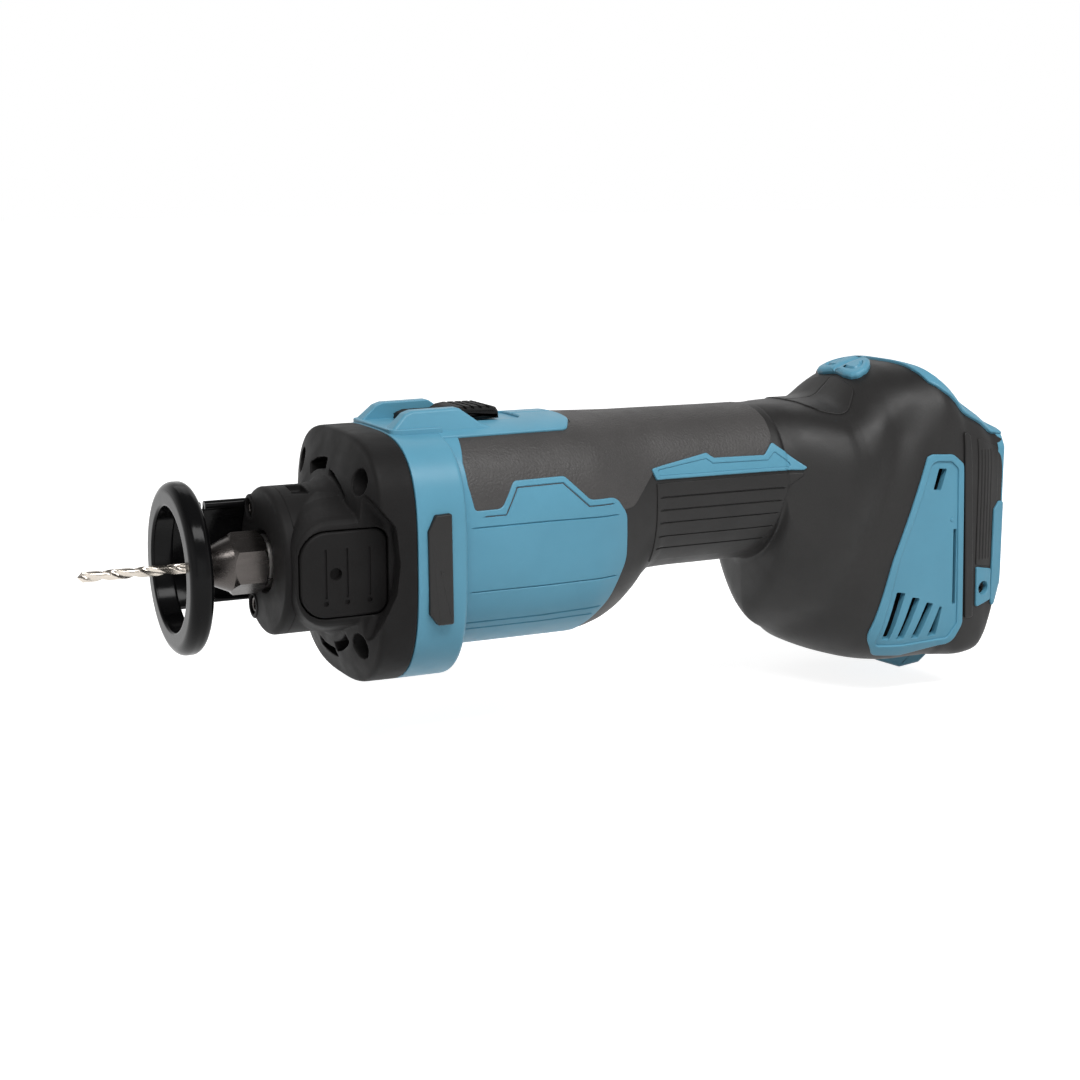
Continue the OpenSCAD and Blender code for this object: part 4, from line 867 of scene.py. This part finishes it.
blue = blue_panels()
dress(shade(blue.make("housing_left_panels", BLUE)), "housing", "blue_plastic", "housing_left")
dress(shade(blue.mirrored().make("housing_right_panels", BLUE)), "housing", "blue_plastic", "housing_right")
ribs = rubber_panels()
# The grained insert, in the rubber whose lighter colour is a painted sheen
grain = panel(side(GRAIN_PANEL, GRAIN_ROUND), lift=0.06, roll=0.1, skirt=1)
for hand, ribs_of, grain_of in (("left", ribs, grain), ("right", ribs.mirrored(), grain.mirrored())):
    dress(shade(ribs_of.make(f"grip_{hand}_ribs", RUBBER)), "housing", "soft_grip")
    dress(shade(grain_of.make(f"grip_{hand}_grain", GRAIN_WITH_SHEEN)), "housing", "soft_grip")


# Collar: the black flange and the blue band share one section, with its underside, top, half width and
# corner exponents

COLLAR = (-38.5, 39.4, 38.5, 3.4, 2.9)


def collar_loop(inset, turn):
    low, top, half, n_top, n_low = COLLAR
    c, s = np.cos(turn), np.sin(turn)
    power = 2 / np.where(s > 0, n_top, n_low)
    y = (half - inset) * np.sign(c) * np.abs(c) ** power
    z = (low + top) / 2 + ((top - low) / 2 - inset) * np.sign(s) * np.abs(s) ** power
    return np.column_stack([y, z])


def even_turns(start, stop, count):
    """Angles whose points on the collar lie evenly."""
    turn = np.linspace(start, stop, 4001)
    path = collar_loop(0, turn)
    run = np.concatenate([[0], np.cumsum(np.linalg.norm(np.diff(path, axis=0), axis=1))])
    return np.interp(np.linspace(0, run[-1], count), run, turn)


def collar_solid(levels, count=180):
    turn = even_turns(0, 2 * math.pi, count + 1)[:-1]
    loops = [np.column_stack([np.full(count, x), collar_loop(inset, turn)]) for x, inset in levels]
    points, faces = loft(loops)
    if levels[0][0] > levels[-1][0]:
        faces = [f[::-1] for f in faces]
    return points, faces


def collar_half(profile, count=120):
    """A profile of X and inset, run around the left half of the collar."""
    loops = []
    for a in even_turns(-QUARTER, QUARTER, count):
        loop = []
        for x, inset in profile:
            y, z = collar_loop(inset, np.array([a]))[0]
            loop.append([x, max(y, 0), z])
        loops.append(loop)
    points, faces = loft(loops)
    if area(np.asarray(profile)) > 0:
        faces = [f[::-1] for f in faces]
    return points, faces


BAND = [(-34.6, 0), (-51, 0), (-51, 4.8), (-52, 5.6), (-52, 10), (-34.6, 10)]
BAND_ROUND = [0.35, 1.8, 1.4, 0, 0, 0]
band = Parts().add(*collar_half(fillet(BAND, BAND_ROUND, 0.7)))

# Rails of the slide switch and the deck under them
RAIL_TOP = 45.6
RAIL = [
    (-34.7, 38), (-35, 39.4), (-40.6, 44.6), (-43, 45.4), (-58.4, RAIL_TOP), (-65.4, 40.6), (-69, 39.4),
    (-69, 37), (-36, 37)
]
RAIL_ROUND = [0.3, 1, 1.5, 2, 3, 2.5, 1, 0, 0]
RAIL_SIDES = (10.1, 14.4)
RAIL_LEAN = 0.32
DECK = [(-34.9, 0), (-34.9, 16.4), (-38, 17.6), (-51.5, 17.6), (-51.5, 9.6), (-42, 9.6), (-42, 0)]
DECK_ROUND = [0, 2, 2, 0, 0, 0, 0]
DECK_HEIGHTS = (35, 40.3)
CHANNEL = [(-40, 0), (-40, 9.8), (-87, 9.8), (-87, 0), (-67.2, 0), (-67.2, 3.6), (-51.8, 3.6), (-51.8, 0)]
CHANNEL_HEIGHTS = (35, 40.2)
points, faces = side_plate(fillet(RAIL, RAIL_ROUND, 0.7), *RAIL_SIDES, roll=0.9, foot_roll=0.5)
share = (points[:, 1] - RAIL_SIDES[0]) / (RAIL_SIDES[1] - RAIL_SIDES[0])
points[:, 1] += share * RAIL_LEAN * (RAIL_TOP - points[:, 2])
band.add(points, faces)
band.add(*slab(fillet(DECK, DECK_ROUND, 0.8), *DECK_HEIGHTS, roll=0.4))
band.add(*slab(np.array(CHANNEL), *CHANNEL_HEIGHTS, roll=0.05))
dress(shade(band.make("housing_left_band", BLUE)), "housing", "blue_plastic")
dress(shade(band.mirrored().make("housing_right_band", BLUE)), "housing", "blue_plastic")

# Rear frame around the battery bay, and the lug under the foot
LIP = [
    (0, 23.4), (28.4, 23.4), (28.4, -28), (33.6, -28), (34.9, -24), (34.9, 24), (32, 29.2), (0, 29.5)
]
LIP_ROUND = [0, 2, 0.8, 1, 2, 3, 4, 0]
LIP_FRONT = -251.9
LUG = [
    (-216.8, -46), (-217.6, -52.1), (-221.9, -54.1), (-231.3, -57.5), (-239.5, -56.6), (-242.7, -54.2),
    (-243.4, -46)
]
# The lug's left half starts a little past the seam and is cut there
LUG_SIDES = (-1, 12)
rear = Parts()
rear.add(*end_plate(fillet(LIP, LIP_ROUND, 0.9), X_REAR, LIP_FRONT, roll=0.4))
points, faces = side_plate(fillet(LUG, 0.8, 0.9), *LUG_SIDES, roll=1.6)
rear.add(np.column_stack([points[:, 0], np.maximum(points[:, 1], 0), points[:, 2]]), faces)
dress(shade(rear.make("housing_left_rear", BLUE)), "housing", "blue_plastic")
dress(shade(rear.mirrored().make("housing_right_rear", BLUE)), "housing", "blue_plastic")


# Front housing: flange, nose and button boss, melted together

NOSE_R = 22.9
NOSE_FRONT = 1.1
NOSE_X = (-2.5, -30)
# Radius and span of the bore behind the nose
NOSE_BORE = (17, -31, -2)
BUTTON_X = (-1.5, -28.6)
BUTTON_Z = (-13.2, 12.7)
BUTTON_ROUND = [8, 8, 4.2, 4.2]
POCKET_GAP = 0.35
POCKET_SIDES = (20.6, 32)
BOSS_X = (-0.6, -32)
BOSS_Z = (-16, 15.8)
# The boss goes no further forward than this
BOSS_LIMIT = -0.5
# Radii of the boss's front and back corners, and how far it grows at each half width
BOSS_CORNERS = (10, 6)
BOSS_LEVELS = [(8, 6), (14, 5), (18, 3.4), (22, 2), (25, 1), (26.5, 0.2), (27.6, -1), (28, -2.2)]


def rod(r, x0, x1, y=0.0, z=0.0, count=96):
    """A cylinder along X."""
    turn = np.linspace(0, 2 * math.pi, count, endpoint=False)
    rim = np.column_stack([y + r * np.cos(turn), z + r * np.sin(turn)])
    return loft([np.column_stack([np.full(count, x), rim]) for x in sorted((x0, x1))])


def sector(r0, r1, x0, x1, start, stop, pieces=24):
    """A piece of tube about the spindle axis: start and stop are degrees from the right side up."""
    turn = np.radians(np.linspace(start, stop, pieces + 1))
    loops = []
    for a in turn:
        c, s = -math.cos(a), math.sin(a)
        loops.append(np.array([
            [x0, r0 * c, r0 * s], [x0, r1 * c, r1 * s], [x1, r1 * c, r1 * s], [x1, r0 * c, r0 * s]
        ]))
    return loft(loops)


# Rolled edges of the guide's arm: distance from the spindle axis, and degrees from the right side up
BEAD_PLACE = 23.1
UPPER_BEAD = 42.2
LOWER_BEAD = -39


def bead(r, x0, x1, degrees):
    a = math.radians(degrees)
    return rod(r, x0, x1, -BEAD_PLACE * math.cos(a), BEAD_PLACE * math.sin(a), count=24)


def rounded_box(x, z, radii, y, per_corner=10):
    """A rounded rectangle at height y, with radii front top, front low, back low and back top."""
    corners = [(x[0], z[1], 0), (x[0], z[0], 270), (x[1], z[0], 180), (x[1], z[1], 90)]
    loop = []
    for (cx, cz, start), r in zip(corners, radii):
        mx = cx - r if cx == x[0] else cx + r
        mz = cz - r if cz == z[1] else cz + r
        for k in range(per_corner + 1):
            a = math.radians(start + 90 - 90 * k / per_corner)
            loop.append([mx + r * math.cos(a), y, mz + r * math.sin(a)])
    return np.array(loop)


def boss_solid():
    loops = []
    for y, grow in BOSS_LEVELS:
        x = (min(BOSS_X[0] + grow, BOSS_LIMIT), BOSS_X[1] - grow)
        z = (BOSS_Z[0] - grow, BOSS_Z[1] + grow)
        ahead, behind = BOSS_CORNERS
        loops.append(rounded_box(x, z, [ahead + grow, ahead + grow, behind, behind], y))
    return loft(loops)


def side_loft(outline, levels):
    """A solid through copies of an outline in X and Z, each at its own place along Y and shift along X."""
    loop = anticlockwise(np.asarray(outline))
    loops = []
    for y, shift in levels:
        loops.append(np.column_stack([loop[:, 0] + shift, np.full(len(loop), y), loop[:, 1]]))
    points, faces = loft(loops)
    return points, [f[::-1] for f in faces]


def join(piece, shape, operation="UNION"):
    return carve(piece, Parts().add(*shape).make("tool", BLACK), operation)


def melt(piece, voxel, passes, keep):
    """Turns a piece into one smooth moulding."""
    remesh = piece.modifiers.new("melt", "REMESH")
    remesh.mode = "VOXEL"
    remesh.voxel_size = voxel * MM
    soften = piece.modifiers.new("soften", "SMOOTH")
    soften.factor = 0.5
    soften.iterations = passes
    thin = piece.modifiers.new("thin", "DECIMATE")
    thin.ratio = keep
    return settle(piece)


# The flange, and the hollow behind it: inset at each place along X
FLANGE_LEVELS = [
    (-34.4, 0.3), (-34.1, 0), (-24.6, 0.1), (-23.6, 0.4), (-23.1, 1.2), (-22.6, 2.8), (-21.4, 6), (-20, 10),
    (-19.2, 14)
]
FLANGE_HOLLOW = [(-40, 9), (-31, 9)]
FLARE = [(-26, 15), (-26, 27.6), (-21, 26.8), (-19.2, 25), (-17, 23.6), (-13, NOSE_R), (-13, 15)]
# The hollow around the boss: its outline, and how far it shifts along X at each height
SCOOP = [(-6, 26), (-21, 23), (-28.4, 14.5), (-29.6, 3), (-28.4, -6), (-24, -14.5), (-21.5, -21), (-6, -26)]
SCOOP_LEVELS = [(28.1, 1), (28.5, -0.2), (29.6, -1), (33, -0.4), (38.5, 0.8), (44, 1.8)]
FRONT_SCREWS = [(25.6, 26.5), (-25.6, 26.5), (24.6, -23.6), (-24.6, -23.6)]
SCREW_WELL = (4, -28.5, -20)
# Vents: start and stop in degrees, inner and outer radius
FRONT_VENTS = [(63, 91, 27, 30.6), (98, 130, 26.2, 27.8), (-127, -101, 27, 30), (-98, -72, 29, 32)]
VENT_X = (-40, -12)
WINDOW = (-11.5, -6.3, 0, 8, 20.6, 26)
# The guide's holder and the slot in it: inner and outer radius, back, front, start and stop in degrees
HOLDER = (20, 26, -29, -4, -47, 47)
ARM_SLOT = (21.7, 24.5, -27, -2, -43.5, 44)
# Channels for the arm's rolled edges: radius and degrees, and their span
BEAD_CHANNELS = [(2, UPPER_BEAD), (1.5, LOWER_BEAD)]
CHANNEL_X = (-15, -2)
# Ears of the lever's hinge: their spans along X, radius and root, and the hinge's Y and Z
EARS = [(-8, -5.6), (-19.4, -17)]
EAR_R = 3.4
EAR_ROOT = -20
EAR_LAP = 1
LEVER_AT = (-29.4, 10)

front = Parts().add(*collar_solid(FLANGE_LEVELS)).make("front_housing_moulding", BLACK)
join(front, side_loft(fillet(SCOOP, 5, 0.9), SCOOP_LEVELS), "DIFFERENCE")
join(front, lathe(fillet(FLARE, 3, 0.8), segments=128))
join(front, rod(NOSE_R, *NOSE_X))
join(front, boss_solid())
join(front, sector(*HOLDER))
hinge_y, hinge_z = LEVER_AT
for x0, x1 in EARS:
    join(front, rod(EAR_R, x0, x1, *LEVER_AT, count=40))
    join(front, box(x0, x1, hinge_y - EAR_LAP, EAR_ROOT, hinge_z - EAR_R, hinge_z + EAR_R))
join(front, sector(*ARM_SLOT), "DIFFERENCE")
for r, degrees in BEAD_CHANNELS:
    join(front, bead(r, *CHANNEL_X, degrees), "DIFFERENCE")
for y, z in FRONT_SCREWS:
    join(front, rod(*SCREW_WELL, y, z, count=40), "DIFFERENCE")
for start, stop, inner_r, outer_r in FRONT_VENTS:
    join(front, sector(inner_r, outer_r, *VENT_X, start, stop), "DIFFERENCE")
join(front, box(*WINDOW), "DIFFERENCE")
pocket_x = (BUTTON_X[0] + POCKET_GAP, BUTTON_X[1] - POCKET_GAP)
pocket_z = (BUTTON_Z[0] - POCKET_GAP, BUTTON_Z[1] + POCKET_GAP)
pocket = [rounded_box(pocket_x, pocket_z, BUTTON_ROUND, y) for y in POCKET_SIDES]
join(front, loft(pocket), "DIFFERENCE")
join(front, rod(*NOSE_BORE), "DIFFERENCE")
join(front, collar_solid(FLANGE_HOLLOW), "DIFFERENCE")
melt(front, voxel=0.33, passes=3, keep=0.4)
front.data.materials.clear()
front.data.materials.append(BLACK)
dress(shade(front, sharp_degrees=60), "housing", "black_plastic", "front_housing")

# Nose cap, turned, with a pad around each screw
CAP = [(NOSE_X[0], 9.4), (0.5, 9.4), (NOSE_FRONT, 10), (NOSE_FRONT, NOSE_R), (NOSE_X[0], NOSE_R)]
CAP_ROUND = [0, 0.3, 0.3, 3, 0]
NOSE_SCREWS = [(-12, 14.6), (-10.6, -15.8)]
PAD = [(-1, 3), (1.5, 3), (1.5, 4.4), (-1, 4.4)]
PAD_ROUND = [0, 0.3, 0.6, 0]
# Radius and span of the hole for a screw's head
HEAD_WELL = (3, -1, 5)
HEAD = [(-2, 0.6), (-0.2, 0.6), (-0.2, 1.5), (0.7, 1.6), (0.9, 2.2), (0.5, 2.7), (-2, 2.7)]
HEAD_ROUND = [0, 0, 0.1, 0.2, 0.4, 0.4, 0]


def moved(shape, y, z):
    points, faces = shape
    return points + np.array([0, y, z]), faces


cap = Parts().add(*lathe(fillet(CAP, CAP_ROUND, 0.4), segments=128)).make("nose_cap_turned", BLACK)
heads = Parts()
for y, z in NOSE_SCREWS:
    join(cap, moved(lathe(fillet(PAD, PAD_ROUND, 0.3), segments=40), y, z))
    join(cap, rod(*HEAD_WELL, y, z, count=40), "DIFFERENCE")
    heads.add(*moved(lathe(fillet(HEAD, HEAD_ROUND, 0.3), segments=36), y, z))
dress(shade(cap, sharp_degrees=50), "housing", "black_plastic", "nose_cap")
dress(shade(heads.make("nose_screw_heads", DARK_STEEL)), "housing", "dark_steel", "nose_screws")


# Shaft lock button

BUTTON_FACE = 28.5
BUTTON_BACK = 26
# Cuts in the button's face go on to BUTTON_CLEAR above it
BUTTON_CLEAR = 30
# Grooves: their places along X, half width, span along Z and depth
BUTTON_LINES = [-9, -15.7, -22.8]
LINE_HALF = 0.4
LINE_Z = (-7.4, 7.6)
LINE_DEPTH = 0.5
# A dot under each groove, and a larger one in the middle: place, radius and depth
DOT_Z = -8.8
DOT_R = 0.8
DOT_DEPTH = 0.7
EYE = (-12.2, 0, 1.9)
EYE_DEPTH = 1.8


def press_in(piece, outline, depth):
    """Cuts an outline in X and Z into the button's face."""
    join(piece, side_plate(outline, BUTTON_FACE - depth, BUTTON_CLEAR, SHARP), "DIFFERENCE")


button_loop = rounded_box(BUTTON_X, BUTTON_Z, BUTTON_ROUND, 0)[:, [0, 2]]
button = Parts().add(*side_plate(fillet(button_loop, 0, 0.9), BUTTON_BACK, BUTTON_FACE, roll=0.8))
button = button.make("lock_button_face", BLACK)
low, top = LINE_Z
for x in BUTTON_LINES:
    ahead, behind = x + LINE_HALF, x - LINE_HALF
    line = [(behind, low), (ahead, low), (ahead, top), (behind, top)]
    press_in(button, fillet(line, 0.3, 0.3), LINE_DEPTH)
    press_in(button, circle(x, DOT_Z, DOT_R, count=16), DOT_DEPTH)
press_in(button, circle(*EYE), EYE_DEPTH)
dress(shade(button), "lock", "black_plastic", "lock_button")


# Side pads on the band

PAD_SHAPE = [(-37.5, 12.4), (-40, 17.2), (-45.2, 17.4), (-45.6, -16.4), (-40.6, -16.4), (-37.8, -12.8)]
PAD_SIDES = (36.6, 39.6)
PAD_DOT = (-41.8, -0.4, 0.55)
PAD_DOT_SIDES = (39, 39.75)
pad = Parts().add(*side_plate(fillet(PAD_SHAPE, 0.6, 0.8), *PAD_SIDES, roll=0.7))
pad.add(*side_plate(circle(*PAD_DOT, count=14), *PAD_DOT_SIDES, roll=0.12))
for node, shape in (("side_pad_left", pad), ("side_pad_right", pad.mirrored())):
    dress(shade(shape.make(node + "_shape", RUBBER)), "housing", "soft_grip", node)


# Slide switch knob

KNOB = [
    (-45.2, 40.7), (-46, 42.6), (-48.4, 43.4), (-57.6, 43.4), (-59.6, 44.6), (-62, 45), (-72.2, 44.9),
    (-74.2, 44.3), (-75, 43), (-75.2, 40.7)
]
KNOB_ROUND = [0, 0.8, 2, 1, 1, 1.2, 1, 0.8, 0.6, 0]
KNOB_HALF = 8.3
# Grooves across the knob: their places, half width, and Y and Z of the box that cuts them
KNOB_LINES = [-63.4, -66, -68.6, -71.2]
KNOB_LINE_HALF = 0.55
KNOB_CUT = (-10, 10, 44.1, 50)
knob_loop = fillet(KNOB, KNOB_ROUND, 0.6)
knob = Parts().add(*side_plate(knob_loop, -KNOB_HALF, KNOB_HALF, roll=1.4, foot_roll=1.4))
knob = knob.make("switch_knob_shape", BLACK)
for x in KNOB_LINES:
    join(knob, box(x - KNOB_LINE_HALF, x + KNOB_LINE_HALF, *KNOB_CUT), "DIFFERENCE")
dress(shade(knob), "switch", "black_plastic", "switch_knob")


# Depth guide: ring and arm

RING = [(23.7, 19), (30.7, 19), (30.7, 26.3), (23.7, 26.3)]
RING_ROUND = [1, 0.8, 3.2, 2.6]
# The arm: inner and outer radius, each stretch's back, front, start and stop in degrees, and its rolled
# edges' radius, back, front and degrees
ARM_R = (22.3, 23.9)
ARM = [(-16, 14.2, -38, 42), (14.2, 15.4, -40, 36), (15.4, 25, -44, 42)]
ARM_BEADS = [(1.5, -3.4, 14.2, UPPER_BEAD), (1.2, 15.4, 25, UPPER_BEAD), (1, -3.4, 21, LOWER_BEAD)]
guide = Parts().add(*lathe(fillet(RING, RING_ROUND, 0.45), segments=160))
for stretch in ARM:
    guide.add(*sector(*ARM_R, *stretch))
for edge in ARM_BEADS:
    guide.add(*bead(*edge))
dress(shade(guide.make("depth_guide_shape", ENAMEL)), "guide", "black_enamel", "depth_guide")


# Cutting bit: plain shank, two spiral flutes and a point

BIT_R = 1.5875
BIT_TIP = 58
BIT_SIDES = 48
SHANK_X = np.array([1.9, 12, 20])
# The flutes' start, run to full depth, depth as a share of the radius, and pitch
FLUTE_FROM = 21
FLUTE_RUN = 4
FLUTE_DEPTH_SHARE = 0.42
FLUTE_PITCH = 19
# The point's length, and the flat that is left at its tip, as a length and as a share of the radius
POINT = 1.5
TIP_FLAT = 0.05
TIP_SHARE = 0.02
bit_loops = []
bit_turn = np.linspace(0, 2 * math.pi, BIT_SIDES, endpoint=False)
fluted = np.linspace(20.4, BIT_TIP - 1.6, 150)
for x in np.concatenate([SHANK_X, fluted, np.linspace(BIT_TIP - POINT, BIT_TIP, 8)]):
    depth = FLUTE_DEPTH_SHARE * np.clip((x - FLUTE_FROM) / FLUTE_RUN, 0, 1)
    wave = np.clip(np.sin(2 * (bit_turn - 2 * math.pi * x / FLUTE_PITCH)), 0, 1) ** 0.8
    taper = np.clip((BIT_TIP + TIP_FLAT - x) / (POINT + TIP_FLAT), TIP_SHARE, 1)
    r = BIT_R * (1 - depth * wave) * taper
    bit_loops.append(np.column_stack([np.full(BIT_SIDES, x), r * np.cos(bit_turn), r * np.sin(bit_turn)]))
bit = new_object("cutting_bit_shape", *loft(bit_loops), BIT_STEEL)
dress(shade(bit, sharp_degrees=30), "rotor", "bit_steel", "cutting_bit")


# Camera, floor and light, in metres

CAMERA_AT = (0.1815, 0.5635, 0.1193)
CAMERA_BACK = (0.4305, 0.8826, 0.1891)
camera_data = bpy.data.cameras.new("camera")
camera_data.lens = 65
camera_data.sensor_width = 36
camera_data.clip_start = 0.01
camera = bpy.data.objects.new("camera", camera_data)
camera.location = CAMERA_AT
camera.rotation_euler = Vector(CAMERA_BACK).to_track_quat("Z", "Y").to_euler()
scene.collection.objects.link(camera)
scene.camera = camera


def seen_directly(tree):
    """1 for camera, glossy and transmission rays, otherwise 0."""
    path = tree.nodes.new("ShaderNodeLightPath")
    value = path.outputs["Is Camera Ray"]
    for ray in ("Is Glossy Ray", "Is Transmission Ray"):
        inputs = {0: value, 1: path.outputs[ray]}
        value = add_node(tree, "ShaderNodeMath", 0, inputs, operation="MAXIMUM")
    return value


WORLD_LIGHT = 0.25
CEILING = 0.2
FLOOR_GLOW = 0.86
world = bpy.data.worlds.new("studio")
world.use_nodes = True
scene.world = world
sky = world.node_tree
# What is seen is a white backdrop that darkens towards the ceiling
heading = add_node(sky, "ShaderNodeTexCoord", "Generated", {})
upward = add_node(sky, "ShaderNodeSeparateXYZ", "Z", {"Vector": heading})
ceiling = ramp(sky, upward, 1, CEILING, start=0.2, stop=0.7)
level = ramp(sky, seen_directly(sky), WORLD_LIGHT, ceiling, start=0, stop=1)
feed(sky, sky.nodes["Background"], {"Color": WHITE, "Strength": level})

FLOOR_Z = -0.0605
FLOOR_HALF = 6
floor_mesh = bpy.data.meshes.new("floor")
floor_corners = [np.array(corner) * FLOOR_HALF for corner in ((-1, -1), (1, -1), (1, 1), (-1, 1))]
floor_mesh.from_pydata([(x, y, FLOOR_Z) for x, y in floor_corners], [], [(0, 1, 2, 3)])
floor = bpy.data.objects.new("floor", floor_mesh)
scene.collection.objects.link(floor)
floor_paint = make_material("floor", (0.6, 0.6, 0.6), 0.01, 0.9, 0.02, 0.00001, 200, Specular_IOR_Level=0.1)
paint = floor_paint.node_tree
glow = {0: seen_directly(paint), 1: FLOOR_GLOW}
glow = add_node(paint, "ShaderNodeMath", 0, glow, operation="MULTIPLY")
feed(paint, paint.nodes["Principled BSDF"], {"Emission Color": WHITE, "Emission Strength": glow})
floor_mesh.materials.append(floor_paint)


MIDDLE = Vector((-0.1, 0, 0))
# Place, size and power in watts of each lamp
LAMPS = {
    "key": ((-0.06, 0.72, 1.05), (1.5, 0.35), 18.5), "fill": ((0.2, 1.2, 0.1), (1.2, 0.8), 1.4),
    "front": ((0.9, 0.3, 0.35), (0.6, 0.8), 0.4), "back": ((-0.3, -0.9, 0.9), (1.2, 0.5), 1.6)
}
for name, (place, size, power) in LAMPS.items():
    data = bpy.data.lights.new(name, "AREA")
    data.shape = "RECTANGLE"
    data.size, data.size_y = size
    data.energy = power
    lamp = bpy.data.objects.new(name, data)
    lamp.location = place
    lamp.rotation_euler = (Vector(place) - MIDDLE).to_track_quat("Z", "Y").to_euler()
    scene.collection.objects.link(lamp)
scene.view_settings.view_transform = "Standard"

# Materials of the CAD nodes that still show
slot_of = {part["node"]: part["material_slot"] for part in frame["record"]["subparts"]}
for name, node in frame["nodes"].items():
    node.data.materials.clear()
    node.data.materials.append(SLOTS[slot_of[name]])
